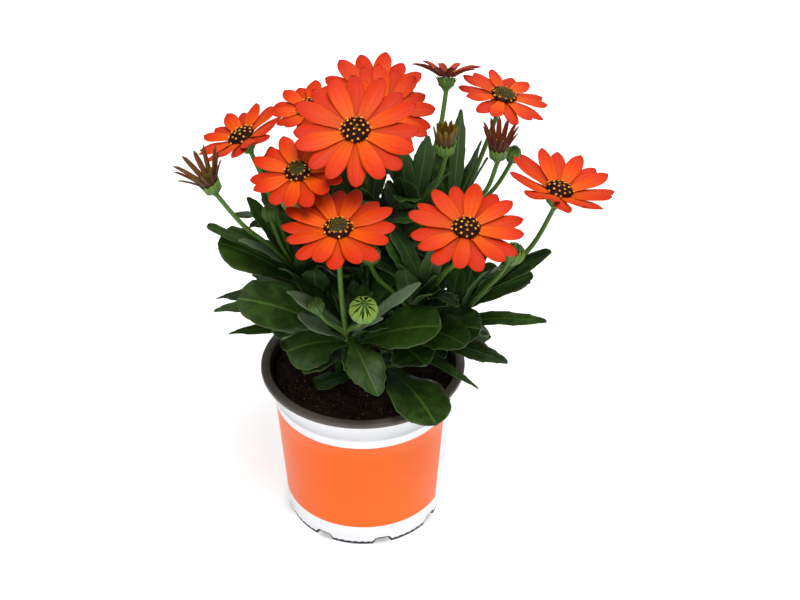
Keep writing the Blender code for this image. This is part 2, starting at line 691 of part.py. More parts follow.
def head_stations(name):
    """Centre line and radii of a cup or closed bud, from its stalk up, and its facing."""
    for head in BLOOMS + OPENING_BUDS:
        if head.name == name:
            facing = vector(head.facing).normalized()
            top = vector(head.centre) - facing * (PETAL_THICKNESS + GAP)
            points = [top + facing * (rise * head.ring) for _, rise in CUP_PROFILE]
            return points, [radius * head.ring for radius, _ in CUP_PROFILE], facing
    for bud in CLOSED_BUDS:
        if bud.name == name:
            facing = vector(bud.facing).normalized()
            foot = vector(bud.centre) - facing * (0.5 * bud.length)
            points = [foot + facing * (rise * bud.length) for _, rise in BUD_PROFILE]
            return points, [0.5 * radius * bud.width for radius, _ in BUD_PROFILE], facing
    raise ValueError(name)


def stalk(start, heading, head_name, first_radius):
    """Points and radii of a stalk with its cup or bud, from just after the start point."""
    head_points, head_radii, facing = head_stations(head_name)
    seat = head_points[0] - facing * STALK_STRAIGHT
    reach = (seat - start).length
    points = curve_points(start, start + heading * (STALK_FOOT_REACH * reach),
                          seat - facing * (STALK_HEAD_REACH * reach), seat, STALK_STEPS)[1:]
    radii = [mix((first_radius, STALK_RADIUS), min(1.0, STALK_TAPER * (step + 1)))
             for step in range(len(points))]
    return points + head_points, radii + head_radii


def shoot_tubes(shoot):
    """The stem with the stalk of its tip, then each side stalk, all with their heads."""
    p0, p1, p2, p3 = shoot_path(shoot)
    points = curve_points(p0, p1, p2, p3, STEM_STEPS)
    radii = [mix((STEM_RADIUS, STEM_TOP_RADIUS), step / STEM_STEPS)
             for step in range(STEM_STEPS + 1)]
    points.insert(0, Vector((p0.x, p0.y, SOIL_HEIGHT - STEM_DEPTH)))
    radii.insert(0, STEM_RADIUS)
    heading = (p3 - p2).normalized()
    if shoot.tip_head:
        more_points, more_radii = stalk(p3, heading, shoot.tip_head, STEM_TOP_RADIUS)
        points += more_points
        radii += more_radii
    pieces = [tube(points, radii, STEM_SIDES)]
    for head_name, along in shoot.side_heads:
        start = stem_point(shoot, along)
        seat = head_stations(head_name)[0][0]
        away = ((seat - start).normalized() + heading * STALK_LEAN).normalized()
        points, radii = stalk(start, away, head_name, STALK_RADIUS)
        pieces.append(tube([start] + points, [STALK_RADIUS] + radii, STEM_SIDES))
    return pieces


def stem_point(shoot, along):
    """Point on the axis of a stem's faceted tube."""
    points = curve_points(*shoot_path(shoot), STEM_STEPS)
    step = min(int(along * STEM_STEPS), STEM_STEPS - 1)
    return points[step].lerp(points[step + 1], along * STEM_STEPS - step)


def spiral_leaf(shoot, number, attempt):
    """A leaf of the stem's spiral. Later attempts turn, tilt and shorten it."""
    rng = random.Random(f"{shoot.name}-{number}-{attempt}")
    share = (number + 0.5) / shoot.leaves
    base = stem_point(shoot, mix((shoot.bare, SPIRAL_END), share))
    outward = math.atan2(shoot.fork[1], shoot.fork[0])
    turn = outward + GOLDEN_ANGLE * number
    turn += rng.uniform(-RETRY_TURN, RETRY_TURN) * (attempt + 1)
    tilt = rng.uniform(-RETRY_RISE, RETRY_RISE) * (1.0 + RETRY_RISE_GROWTH * attempt)
    rise = math.radians(mix(SPIRAL_RISE, share) + tilt)
    length = mix(SPIRAL_LENGTH, share) * (1.0 - RETRY_SHORTENING * attempt)
    length *= rng.uniform(*SPIRAL_LENGTH_SPREAD)
    width = length * mix(SPIRAL_ASPECT, share)
    out = Vector((math.cos(turn), math.sin(turn), 0.0))
    tip = base + (out * math.cos(rise) + UP * math.sin(rise)) * length
    form = BROAD_PLAIN if share < SPIRAL_BROAD_SHARE else NARROW_PLAIN
    roll = rng.uniform(-SPIRAL_ROLL, SPIRAL_ROLL)
    return base, tip, length * mix(SPIRAL_BOW, share), width, form, roll


def placed_leaf(placed, attempt):
    """A leaf placed by hand. Later attempts move its tip and root step by step."""
    shoot = next(item for item in SHOOTS if item.name == placed.shoot)
    rng = random.Random(f"{placed.name}-{attempt}")
    reach = RETRY_SHIFT * attempt
    shift = Vector([rng.uniform(-reach, reach) for _ in range(3)])
    slide = RETRY_SLIDE * rng.uniform(-attempt, attempt)
    base = stem_point(shoot, min(SPIRAL_END, max(PLACED_FOOT, placed.along + slide)))
    return base, vector(placed.tip) + shift, placed.bow, placed.width, placed.form, placed.roll


def clear_of(piece, obstacles):
    return not any(piece.touches(obstacle) for obstacle in obstacles)


def clear_of_pot(piece):
    """True if no point is below the soil or the rim that it passes over."""
    for vert in piece.verts:
        reach = math.hypot(vert.x, vert.y)
        over_rim = reach > WALL_TOP_RADIUS - RIM_MARGIN
        floor = POT_HEIGHT if over_rim else SOIL_HEIGHT + 2.0 * SOIL_RELIEF
        if reach < RIM_RADIUS + RIM_MARGIN and vert.z < floor + LEAF_CLEARANCE:
            return False
        if vert.z < LEAF_LOWEST:
            return False
    return True


def add_leaf(pieces, shoot, spec, obstacles, close):
    """Add a leaf to its stem if a slightly larger one is clear of every obstacle.

    A close leaf may meet the stem's other leaves near its root, because they are one solid.
    """
    wide = leaf_piece(*spec, extra=LEAF_CLEARANCE)
    others = [piece for name, piece in obstacles if name != shoot.name]
    if not clear_of_pot(wide) or not clear_of(wide, others):
        return False
    outer = leaf_piece(*spec, extra=LEAF_CLEARANCE, rooted=False) if close else wide
    own_leaves = pieces[1 + len(shoot.side_heads):]
    if not clear_of(outer, own_leaves):
        return False
    leaf = leaf_piece(*spec)
    pieces.append(leaf)
    obstacles.append((shoot.name, leaf))
    return True


def try_leaf(pieces, shoot, specs, obstacles):
    """Add the first of a leaf's tries that fits, close to its neighbours only if it has to be."""
    for close in (False, True):
        if any(add_leaf(pieces, shoot, spec, obstacles, close) for spec in specs):
            return


def make_plant(green, petal, dark_petal, disc):
    obstacles = []
    for bloom in BLOOMS + OPENING_BUDS:
        opening = bloom in OPENING_BUDS or bloom.name == "bloom_11"
        ring = petal_ring(bloom, SPIKE_OUTLINE if opening else PETAL_OUTLINE)
        make_object(bloom.name + "_petals", ring.verts, ring.faces,
                    dark_petal if opening else petal)
        dome = disc_piece(bloom)
        make_object(bloom.name + "_disc", dome.verts, dome.faces, disc)
        obstacles += [("bloom", ring), ("bloom", dome)]
    greens = {}
    for shoot in SHOOTS:
        greens[shoot.name] = shoot_tubes(shoot)
        obstacles += [(shoot.name, piece) for piece in greens[shoot.name]]
    for placed in PLACED_LEAVES:
        shoot = next(item for item in SHOOTS if item.name == placed.shoot)
        specs = [placed_leaf(placed, attempt) for attempt in range(PLACED_TRIES)]
        try_leaf(greens[shoot.name], shoot, specs, obstacles)
    for number in range(max(shoot.leaves for shoot in SHOOTS)):
        for shoot in SHOOTS:
            if number < shoot.leaves:
                specs = [spiral_leaf(shoot, number, attempt) for attempt in range(LEAF_TRIES)]
                try_leaf(greens[shoot.name], shoot, specs, obstacles)
    for shoot in SHOOTS:
        fuse(shoot.name, greens[shoot.name], green)


def main():
    for item in list(bpy.data.objects):
        bpy.data.objects.remove(item)
    plastic = make_material("pot_plastic", (0.88, 0.88, 0.90), 0.35)
    peat = make_material("peat", (0.028, 0.016, 0.011), 0.95)
    green = make_material("leaf_green", (0.035, 0.13, 0.02), 0.45)
    petal = make_material("petal_orange", (0.95, 0.10, 0.01), 0.5)
    dark_petal = make_material("petal_dark", (0.14, 0.03, 0.015), 0.55)
    disc = make_material("disc_dark", (0.05, 0.012, 0.02), 0.6)
    make_pot(plastic)
    make_soil(peat)
    make_plant(green, petal, dark_petal, disc)


main()
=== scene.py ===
"""Looks of the potted osteospermum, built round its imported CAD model.

Lengths are in millimetres in the CAD's frame: +X to the viewer's right, +Y away from the viewer,
+Z up, origin at the centre of the pot's base. Meshes are written in metres.

Every CAD node is replaced by a finer piece of the same form. The flowers, stems and leaves follow
the same tables and rules as the CAD. Where the CAD turned or moved a leaf to keep it clear of its
neighbours, the leaf is found again by comparing its tip with the points of the CAD node.
"""

import math
import random
from collections import namedtuple

import bpy
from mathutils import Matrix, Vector, kdtree, noise
from mathutils.bvhtree import BVHTree


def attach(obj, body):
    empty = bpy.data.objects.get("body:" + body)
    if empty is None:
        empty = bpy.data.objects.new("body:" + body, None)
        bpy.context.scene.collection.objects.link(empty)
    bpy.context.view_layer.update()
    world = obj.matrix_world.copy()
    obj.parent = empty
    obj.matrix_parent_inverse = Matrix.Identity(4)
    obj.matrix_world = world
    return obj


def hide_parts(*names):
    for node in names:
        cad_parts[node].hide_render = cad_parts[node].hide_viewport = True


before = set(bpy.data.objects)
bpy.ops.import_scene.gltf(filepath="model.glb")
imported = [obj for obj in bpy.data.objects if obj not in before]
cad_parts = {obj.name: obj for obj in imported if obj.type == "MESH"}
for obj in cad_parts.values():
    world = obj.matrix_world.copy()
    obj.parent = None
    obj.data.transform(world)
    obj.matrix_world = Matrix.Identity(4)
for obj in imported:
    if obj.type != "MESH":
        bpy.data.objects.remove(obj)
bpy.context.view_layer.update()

METRES_PER_MM = 0.001
UP = Vector((0.0, 0.0, 1.0))

# Camera, at the photograph's angle: 81 mm lens, looking down by this angle
CAMERA_PLACE = (21.8, -841.0, 749.0)
CAMERA_PITCH = 0.620
CAMERA_LENS = 81.0

# Studio, in metres and watts: soft boxes as name, place, side and power
FLOOR_HALF = 6.0
FLOOR_GLOW = 0.34
WORLD_STRENGTH = 0.34
LIT_POINT = (0.0, 0.0, 0.15)
LIGHTS = (
    ("key", (0.25, -0.55, 1.75), 0.8, 26.0),
    ("fill", (-0.6, -1.3, 1.0), 1.0, 5.0),
    ("back", (0.5, 1.0, 1.5), 0.9, 8.0),
)

# Pot
POT_HEIGHT = 105.0
RIM_RADIUS = 60.0
RIM_INNER_RADIUS = 55.0
LIP_HEIGHT = 3.2
WALL_TOP_RADIUS = 54.0
WALL_FOOT_RADIUS = 47.3
WALL_THICKNESS = 1.4
FLOOR_THICKNESS = 1.6
FOOT_LINE_HEIGHT = 8.0
WALL_SLOPE = (WALL_TOP_RADIUS - WALL_FOOT_RADIUS) / (POT_HEIGHT - LIP_HEIGHT - FOOT_LINE_HEIGHT)
LEDGE_HEIGHT = 87.1
LEDGE_STEP = 0.45
# How deep from the top and how far past the inner radius the lip's lit edge reaches; inside and below
# it the pot is painted nearly black as shadow
LIP_LIT_DEPTH = 0.6
LIP_LIT_WIDTH = 0.4
FOOT_RADIUS = 46.0
FOOT_ROUNDING = 1.4
LOBES = 8
LOBE_TURN = math.radians(-98.5)
LOBE_ANGLES = (-18.5, -17.3, -15.7, -14.5, -10.0, -5.0, 0.0, 5.0, 10.0, 14.5, 15.7, 17.3, 18.5, 22.5)
LOBE_HALF_ANGLE = 14.5
CHANNEL_HALF_START = 18.5
CHANNEL_RISE = 4.5
CHANNEL_START = 25.0
PAD_RADIUS = 19.0
BAND_LOW = 16.3
BAND_HIGH = 81.2
BAND_MIDDLE_ANGLE = math.radians(-124.0)
BAND_HALF_ANGLE = math.radians(99.0)
BAND_EDGE = 0.12
BAND_EDGE_ANGLE = 0.003

# Soil
SOIL_HEIGHT = 98.5
SOIL_RELIEF = 1.6
SOIL_CROWN = 2.0
SOIL_SIDE_GAP = 0.8
SOIL_RINGS = 40
SOIL_STATIONS = 120
CRUMBS = 620
CRUMB_SIZE = (0.5, 1.5)
CRUMB_SUNK = 0.2
CRUMB_HEIGHT = 0.8
SOIL_SHOULDER = 4.0
STEM_DEPTH = 12.0
SOIL_COLLAR = 4.0

# The soil's clods, as a sum of waves: share of the height, turn per mm along X and Y, and phase
CLODS = ((0.8, 0.41, 0.30, 1.3), (0.6, 0.83, -0.52, 2.1), (0.5, 0.29, 0.77, 0.6))

# Stems and stalks
STEM_RADIUS = 2.2
STEM_TOP_RADIUS = 1.6
STALK_RADIUS = 1.25
STEM_STEPS = 4
STALK_STEPS = 3
STEM_FOOT_RISE = 0.4
STEM_FORK_RISE = 0.3
STEM_FORK_LEAN = 0.25
STALK_STRAIGHT = 2.0
STALK_FOOT_REACH = 0.35
STALK_HEAD_REACH = 0.3
STALK_LEAN = 0.5
STALK_TAPER = 0.4
STALK_RIBS = 0.05
FINE_SIDES = 10
FINE_STEPS = 5

CUP_PROFILE = ((0.36, -1.30), (0.84, -0.72), (0.95, 0.0))
BUD_PROFILE = ((0.70, 0.10), (1.0, 0.45), (0.74, 0.82), (0.30, 1.0))

# Bracts: columns across each, rows along a cup's and a bud's, and a bud's width as a share
BRACT_COLUMNS = (-1.0, -0.5, 0.0, 0.5, 1.0)
BRACT_ROWS = 7
BRACT_HALF_THICKNESS = 0.14
CUP_BRACTS = 13
CUP_BRACT_WIDTH = 2.4
CUP_SEAT = 0.75
BUD_BRACTS = 10
BUD_BRACT_ROWS = 9
BUD_BRACT_WIDTH = 0.27
BUD_BRACT_THICKNESS = 0.22
BUD_FOOT_WIDTH = 0.3

# Petals
PETAL_THICKNESS = 0.75
UPPER_LAYER_LIFT = 5.5
PETAL_LIFT_SPREAD = 1.6
PETAL_LENGTH_SPREAD = 0.05
PETAL_ROLL = 5.0
PETAL_TRIM = 0.985
PETAL_SWAY = 2.2
PETAL_TURN_SPREAD = 2.5
PETAL_WIDTH_SPREAD = (0.96, 1.10)
PETAL_ROOT = -0.10
PETAL_ROW_CROWDING = 1.55
PETAL_ARCH = 0.16
PETAL_RIPPLE = 0.28
PETAL_GROOVE = 0.22
PETAL_GROOVE_PLACE = 0.38
PETAL_GROOVE_WIDTH = 0.10
PETAL_TEETH_DEPTH = 0.22
PETAL_BLADE = (0.42, 0.14)
PETAL_ROWS = 15
PETAL_COLUMNS = (-1.0, -0.86, -0.62, -0.38, -0.15, 0.15, 0.38, 0.62, 0.86, 1.0)
SPIKE_ROWS = 9
SPIKE_COLUMNS = (-1.0, -0.6, 0.0, 0.6, 1.0)
SPIKE_HALF_WIDTH = 0.56
SPIKE_BEND = 1.15
SPIKE_SUNK = 0.8
SPIKE_HALF_THICKNESS = 0.16

# Disc of florets
DISC_RISE = 0.62
DISC_SHARE = 0.90
DISC_SIDES = 24
DISC_LEVELS = (0.0, 0.25, 0.5, 0.75, 0.92)
DOME_SHARE = 0.72
FLORETS = 170
FLORET_SIDES = 6
FLORET_RADIUS = 0.062
POLLEN_SPACING = 0.30

# Clearance between a flower's green cup and its petals, and between the soil and the pot
GAP = 0.3

# Leaves: station along the blade, then left and right half width as shares of the full half width
BROAD = ((0.24, 0.28, 0.28), (0.50, 1.0, 0.78), (0.69, 0.80, 1.0), (0.87, 0.66, 0.54),
         (1.0, 0.10, 0.10))
BROAD_PLAIN = ((0.28, 0.34, 0.34), (0.58, 1.0, 0.84), (0.84, 0.78, 0.90), (1.0, 0.20, 0.20))
NARROW_PLAIN = ((0.36, 0.78, 0.92), (0.70, 1.0, 0.80), (1.0, 0.14, 0.14))
NARROW = ((0.28, 0.60, 0.76), (0.54, 1.0, 0.78), (0.80, 0.62, 0.86), (1.0, 0.12, 0.12))
SPOON = ((0.28, 0.36, 0.36), (0.52, 0.92, 0.92), (0.75, 1.0, 1.0), (0.93, 0.62, 0.62),
         (1.0, 0.20, 0.20))
LEAF_ROOT_HALF_WIDTH = 0.8
LEAF_THICKNESS = 0.7
SPINE_STEP = 0.02
UPRIGHT_LEAN = 0.2
LEAF_ROWS = 31
LEAF_ROW_CROWDING = 1.35
LEAF_EDGE_HALF_WIDTH = 0.12
LEAF_HALF_BLADE = (0.25, 0.11)
TEETH_REACH = (0.34, 0.94)
FOLD_SPREAD = (0.14, 0.26)
CURL_SPREAD = (-0.5, 1.0)
RIB_COLUMN = 0.12
RIB_DEPTH = 0.25
VEINS = 7.0
VEIN_SWEEP = 0.308

# How full each form's rounded tip is, and where along the blade the rounding starts
ROUND_START = 0.84
ROUND_ENDS = {SPOON: 1.0, BROAD: 0.85, BROAD_PLAIN: 0.92, NARROW: 0.6, NARROW_PLAIN: 0.6}
TEETH_DEPTHS = {SPOON: 0.025, BROAD: 0.06, BROAD_PLAIN: 0.06, NARROW: 0.05, NARROW_PLAIN: 0.05}

# How grey-green the downy young leaves are
DOWNY = 0.75
LEAF_COLUMNS = (-1.0, -0.78, -0.5, -0.22, -0.06, 0.06, 0.22, 0.5, 0.78, 1.0)

# Leaves along a stem's spiral: pairs hold the value at the spiral's foot and at the fork
GOLDEN_ANGLE = math.radians(137.508)
SPIRAL_END = 0.98
SPIRAL_RISE = (16.0, 62.0)
SPIRAL_LENGTH = (62.0, 42.0)
SPIRAL_ASPECT = (0.46, 0.30)
SPIRAL_BOW = (0.12, 0.07)
SPIRAL_LENGTH_SPREAD = (0.90, 1.08)
SPIRAL_BROAD_SHARE = 0.6
SPIRAL_ROLL = 18.0
PLACED_FOOT = 0.02
LEAF_TRIES = 60
RETRY_TURN = 0.07
RETRY_RISE = 6.0
RETRY_RISE_GROWTH = 0.08
RETRY_SHORTENING = 0.007
PLACED_TRIES = 40
RETRY_SHIFT = 0.45
RETRY_SLIDE = 0.01

# Small leaves that the CAD leaves out fill the plant's inside: tries, and ranges of their sizes
FILL_PER_STEM = 13
FILL_TRIES = 60
FILL_REACH = (0.22, 0.97)
FILL_RISE = (15.0, 75.0)
FILL_LENGTH = (26.0, 46.0)
FILL_ASPECT = (0.26, 0.38)
FILL_ROOT = 0.22
FILL_BOW = 0.08

# A leaf is the CAD's leaf if the corners of its tip lie this close to points of the CAD node
TIP_MATCH = 0.12
CORNERS_MATCHED = 5

Bloom = namedtuple("Bloom", "name centre facing span petals petal_width lift fall ring disc")

BLOOMS = (
    Bloom("bloom_1", (-1, -34, 280), (0.0, -0.50, 0.87), 68, 16, 9.8, 8, 10, 6.6, 8.0),
    Bloom("bloom_2", (14, 8, 269), (0.30, -0.42, 0.86), 54, 16, 9.0, 12, 14, 6.4, 7.6),
    Bloom("bloom_3", (7, 46, 255), (0.0, -0.40, 0.91), 60, 14, 9.6, 12, 14, 6.4, 7.6),
    Bloom("bloom_4", (-27, 8, 269), (-0.18, -0.16, 0.96), 42, 14, 8.2, 14, 16, 6.0, 7.2),
    Bloom("bloom_5", (-62, -13, 264), (-0.40, 0.0, 0.91), 50, 16, 8.2, 14, 10, 6.4, 7.6),
    Bloom("bloom_6", (-31, -44, 261), (-0.12, -0.30, 0.94), 50, 14, 8.6, 10, 14, 6.0, 7.0),
    Bloom("bloom_7", (-10, -69, 242), (0.0, -0.20, 0.98), 60, 16, 9.0, 10, 14, 6.4, 7.8),
    Bloom("bloom_8", (56, -64, 239), (0.06, -0.25, 0.97), 62, 16, 9.2, 10, 14, 6.6, 7.8),
    Bloom("bloom_9", (106, -32, 242), (0.22, 0.0, 0.97), 62, 16, 9.4, 22, 10, 6.6, 7.8),
    Bloom("bloom_10", (78, 20, 270), (0.25, -0.06, 0.96), 50, 14, 8.0, 6, 16, 6.2, 7.4),
    Bloom("bloom_11", (47, 20, 283), (0.05, 0.40, 0.92), 40, 10, 4.6, 34, 26, 5.0, 4.6),
)

OPENING_BUDS = (
    Bloom("opening_1", (-77, -49, 259), (-0.38, -0.10, 0.92), 42, 12, 3.0, 62, 12, 5.6, 4.8),
    Bloom("opening_2", (74, -17, 260), (0.05, 0.0, 1.0), 38, 12, 3.0, 68, 4, 5.4, 4.6),
    Bloom("opening_3", (46, -10, 259), (0.0, -0.05, 1.0), 32, 12, 3.0, 82, 2, 5.8, 4.6),
)

# Share of each disc, from its middle, whose florets are still closed and green
GREEN_SHARES = {"bloom_6": 0.62, "bloom_7": 0.66, "bloom_10": 0.80, "bloom_2": 0.3,
                "bloom_11": 0.7, "opening_1": 1.0, "opening_2": 0.6, "opening_3": 1.0}
DEFAULT_GREEN_SHARE = 0.12

# How green and yellow, rather than red-brown, the petals of a part-open flower are
UNRIPE_SHARES = {"bloom_11": 0.02, "opening_1": 0.30, "opening_2": 0.06, "opening_3": 0.8}

# How orange the inside of a part-open flower's petals is
OPEN_SHARES = {"bloom_11": 0.8, "opening_2": 0.12}

# How bright a closed bud's green is: the front one is the freshest
BUD_LIGHT = {"bud_1": 1.0, "bud_2": 0.6, "bud_3": 0.6, "bud_4": 0.6}
BUD_DULL = 0.25

# How light the green of a stem's foot, a stalk's foot and a head is
STEM_LIGHT = 0.25
STALK_LIGHT = 0.5
HEAD_LIGHT = 0.75

# A bud's body inside its bracts, as a share of its radius
BUD_BODY = 0.84

ClosedBud = namedtuple("ClosedBud", "name centre facing width length")

CLOSED_BUDS = (
    ClosedBud("bud_1", (3, -85, 203), (0.05, -0.45, 0.89), 14.0, 13.0),
    ClosedBud("bud_2", (83, -40, 208), (0.35, -0.20, 0.92), 11.0, 12.0),
    ClosedBud("bud_3", (85, 22, 233), (0.20, 0.0, 0.98), 7.5, 9.5),
    ClosedBud("bud_4", (-36, -32, 236), (-0.20, -0.10, 0.97), 10.0, 12.0),
    ClosedBud("bud_5", (6, -40, 207), (0.10, -0.30, 0.95), 10.0, 11.0),
    ClosedBud("bud_6", (-23, -60, 188), (-0.20, -0.30, 0.93), 7.5, 9.5),
    ClosedBud("bud_7", (-49, -20, 221), (-0.20, 0.10, 0.97), 7.0, 9.0),
)

# A leafy stem: where it stands in the soil, where it forks, the head that its tip carries, the
# heads on side stalks with their start as a share of the way to the fork, how many leaves its
# spiral has, and the share of its foot that the spiral leaves bare.
Shoot = namedtuple("Shoot", "name root fork tip_head side_heads leaves bare")

SHOOTS = (
    Shoot("stem_front", (-3, -13), (-8, -44, 160), "bloom_7",
          (("bud_1", 0.93), ("bud_6", 0.84)), 3, 0.6),
    Shoot("stem_front_right", (10, -10), (38, -34, 178), "bloom_8", (("bud_5", 0.70),), 5, 0.35),
    Shoot("stem_left", (-14, -4), (-37, -13, 180), "bloom_5",
          (("opening_1", 0.94), ("bud_7", 0.84)), 4, 0.45),
    Shoot("stem_centre_left", (-6, 0), (-18, -12, 202), "bloom_6", (("bud_4", 0.9),), 7, 0.2),
    Shoot("stem_right", (17, -2), (62, -16, 158), "bloom_9", (("bud_2", 0.95),), 6, 0.1),
    Shoot("stem_back_right", (13, 8), (52, 12, 194), "bloom_10",
          (("opening_2", 0.95), ("bud_3", 0.85)), 7, 0.1),
    Shoot("stem_centre_right", (4, 9), (33, 10, 212), "bloom_11", (("opening_3", 0.90),), 7, 0.15),
    Shoot("stem_centre", (2, 1), (4, -6, 214), "bloom_1", (("bloom_2", 0.9),), 7, 0.2),
    Shoot("stem_back_left", (-7, 10), (-18, 22, 204), "bloom_4", (("bloom_3", 0.86),), 9, 0.1),
    Shoot("shoot_left", (-12, 14), (-50, 30, 186), None, (), 8, 0.1),
    Shoot("shoot_back", (0, 18), (-8, 56, 192), None, (), 8, 0.1),
    Shoot("shoot_right", (11, 18), (46, 44, 190), None, (), 8, 0.1),
)

# Leaves placed one by one: stem, share of the way to the fork, tip, bow, full width, form, and the
# roll about its own length in degrees
PlacedLeaf = namedtuple("PlacedLeaf", "name shoot along tip bow width form roll")

PLACED_LEAVES = (
    PlacedLeaf("rim_round", "stem_front_right", 0.06, (42, -73, 116), 7, 30, SPOON, 0),
    PlacedLeaf("soil_small", "stem_front", 0.02, (-27, -27, 106), 2, 14, SPOON, 0),
    PlacedLeaf("front_down", "stem_front", 0.92, (10, -76, 139), 3, 21, BROAD, 0),
    PlacedLeaf("front_down_low", "stem_front", 0.76, (-1, -63, 138), 3, 15, BROAD, -10),
    PlacedLeaf("front_grey_left", "stem_front", 1.0, (-38, -66, 201), 2, 9, NARROW, -45),
    PlacedLeaf("front_grey_short", "stem_front", 1.0, (-21, -62, 191), 1, 10, SPOON, -40),
    PlacedLeaf("front_grey_right", "stem_front", 1.0, (27, -62, 198), 2, 9, NARROW, 45),
    PlacedLeaf("front_grey_low", "stem_front", 0.97, (24, -62, 188), 1, 6, NARROW, 30),
    PlacedLeaf("big_left", "stem_front", 0.95, (-57, -60, 189), 4, 27, SPOON, -40),
    PlacedLeaf("low_left", "stem_front", 0.62, (-41, -47, 147), 4, 29, SPOON, -35),
    PlacedLeaf("right_large", "stem_front", 0.86, (47, -57, 180), 4, 26, SPOON, 38),
    PlacedLeaf("right_large_low", "stem_front_right", 0.42, (67, -38, 156), 4, 26, SPOON, 30),
    PlacedLeaf("right_middle", "stem_front_right", 0.26, (37, -62, 150), 3, 26, BROAD, 20),
    PlacedLeaf("right_toothed", "stem_right", 0.42, (83, -30, 126), 2, 14, BROAD, 10),
    PlacedLeaf("right_thin", "stem_front_right", 0.34, (66, -54, 128), 4, 7, NARROW, 0),
    PlacedLeaf("right_tip_1", "stem_right", 0.98, (104, -32, 203), 3, 12, SPOON, 20),
    PlacedLeaf("right_tip_2", "stem_right", 0.92, (100, -20, 182), 3, 13, SPOON, 20),
    PlacedLeaf("right_tip_3", "stem_right", 0.84, (96, -34, 178), 3, 11, NARROW, 20),
    PlacedLeaf("left_broad", "stem_left", 0.80, (-77, -30, 208), 4, 25, SPOON, -38),
    PlacedLeaf("left_upper", "stem_left", 0.93, (-82, -32, 220), 3, 9, SPOON, -15),
    PlacedLeaf("left_grey", "stem_left", 0.88, (-66, -48, 216), 3, 8, NARROW, -30),
    PlacedLeaf("left_pointed", "stem_left", 0.55, (-80, -44, 172), 4, 11, NARROW, -15),
    PlacedLeaf("left_low", "stem_left", 0.36, (-59, -26, 155), 3, 18, SPOON, -25),
    PlacedLeaf("left_narrow", "stem_left", 0.30, (-75, -25, 143), 4, 8, NARROW, -10),
    PlacedLeaf("left_back", "stem_left", 0.60, (-85, -4, 150), 4, 13, NARROW, 0),
    PlacedLeaf("top_1", "stem_centre_right", 0.90, (37, 2, 256), 1, 12, NARROW, 0),
    PlacedLeaf("top_2", "stem_centre_right", 0.80, (22, 2, 250), 1, 13, NARROW, 0),
    PlacedLeaf("top_3", "stem_back_right", 0.97, (55, 14, 266), 1, 9, NARROW, 0),
    PlacedLeaf("top_4", "stem_back_right", 0.90, (62, 4, 251), 1, 12, NARROW, 25),
    PlacedLeaf("top_5", "stem_back_right", 0.84, (62, 12, 238), 1, 10, NARROW, 0),
    PlacedLeaf("top_6", "stem_back_right", 1.0, (75, 8, 238), 2, 9, NARROW, 20),
    PlacedLeaf("top_left", "stem_back_left", 0.95, (-35, 8, 232), 2, 12, NARROW, 0),
    PlacedLeaf("left_top", "stem_left", 1.0, (-62, -6, 222), 2, 11, NARROW, -20),
)


def vector(values):
    return Vector([float(value) for value in values])


def mix(pair, share):
    return pair[0] + (pair[1] - pair[0]) * share


def smooth_step(low, high, value):
    share = min(1.0, max(0.0, (value - low) / (high - low)))
    return share * share * (3.0 - 2.0 * share)


def bezier(p0, p1, p2, p3, share):
    rest = 1.0 - share
    return (p0 * rest ** 3 + p1 * (3.0 * share * rest ** 2)
            + p2 * (3.0 * share ** 2 * rest) + p3 * share ** 3)


def curve_points(p0, p1, p2, p3, steps):
    return [bezier(p0, p1, p2, p3, step / steps) for step in range(steps + 1)]


def spoke(angle, radius=1.0, height=0.0):
    """Point at an angle round the Z axis."""
    return Vector((radius * math.cos(angle), radius * math.sin(angle), height))


def circle(radius, height, sides):
    return [spoke(math.tau * side / sides, radius, height) for side in range(sides)]


def even_shares(rows):
    return [row / (rows - 1) for row in range(rows)]


def frame_towards(facing):
    """Rotation that turns +Z to the given direction."""
    return vector(facing).normalized().to_track_quat("Z", "Y").to_matrix()


def smooth_table(table, share):
    """Value between the rows of a table of (position, value), by a curve through them."""
    last = len(table) - 1
    number = 0
    while number < last - 1 and share > table[number + 1][0]:
        number += 1
    before = table[max(number - 1, 0)]
    start = table[number]
    end = table[number + 1]
    after = table[min(number + 2, last)]
    width = end[0] - start[0]
    local = min(1.0, max(0.0, (share - start[0]) / width))
    slope_start = (end[1] - before[1]) / max(end[0] - before[0], 1e-6) * width
    slope_end = (after[1] - start[1]) / max(after[0] - start[0], 1e-6) * width
    cube = local ** 3
    square = local ** 2
    return ((2 * cube - 3 * square + 1) * start[1] + (cube - 2 * square + local) * slope_start
            + (3 * square - 2 * cube) * end[1] + (cube - square) * slope_end)


class Surface:
    """Points, faces and one number per point for each named mark, gathered for one object."""

    def __init__(self, *marks):
        self.verts = []
        self.faces = []
        self.marks = {name: [] for name in marks}

    def add(self, verts, faces, **marks):
        """Marks are a number for all of these points, or a list with one for each."""
        start = len(self.verts)
        self.verts += verts
        self.faces += [tuple(start + corner for corner in face) for face in faces]
        for name, values in self.marks.items():
            given = marks.get(name, 0.0)
            values += given if isinstance(given, list) else [given] * len(verts)

    def build(self, name, material, node):
        mesh = bpy.data.meshes.new(name)
        mesh.from_pydata([tuple(vert * METRES_PER_MM) for vert in self.verts], [], self.faces)
        for mark, values in self.marks.items():
            layer = mesh.attributes.new(mark, "FLOAT", "POINT")
            layer.data.foreach_set("value", values)
        mesh.polygons.foreach_set("use_smooth", [True] * len(mesh.polygons))
        mesh.materials.append(material)
        mesh.validate()
        mesh.update()
        piece = bpy.data.objects.new(name, mesh)
        bpy.context.scene.collection.objects.link(piece)
        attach(piece, "root")
        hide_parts(node)
        return piece


def grid_faces(rows, columns, start=0, closed=False):
    """Four-sided faces between rows of points, joined across the last column if closed."""
    faces = []
    for row in range(rows - 1):
        for column in range(columns if closed else columns - 1):
            after = (column + 1) % columns
            near = start + row * columns
            far = near + columns
            faces.append((near + column, near + after, far + after, far + column))
    return faces


def flipped(faces):
    return [tuple(reversed(face)) for face in faces]


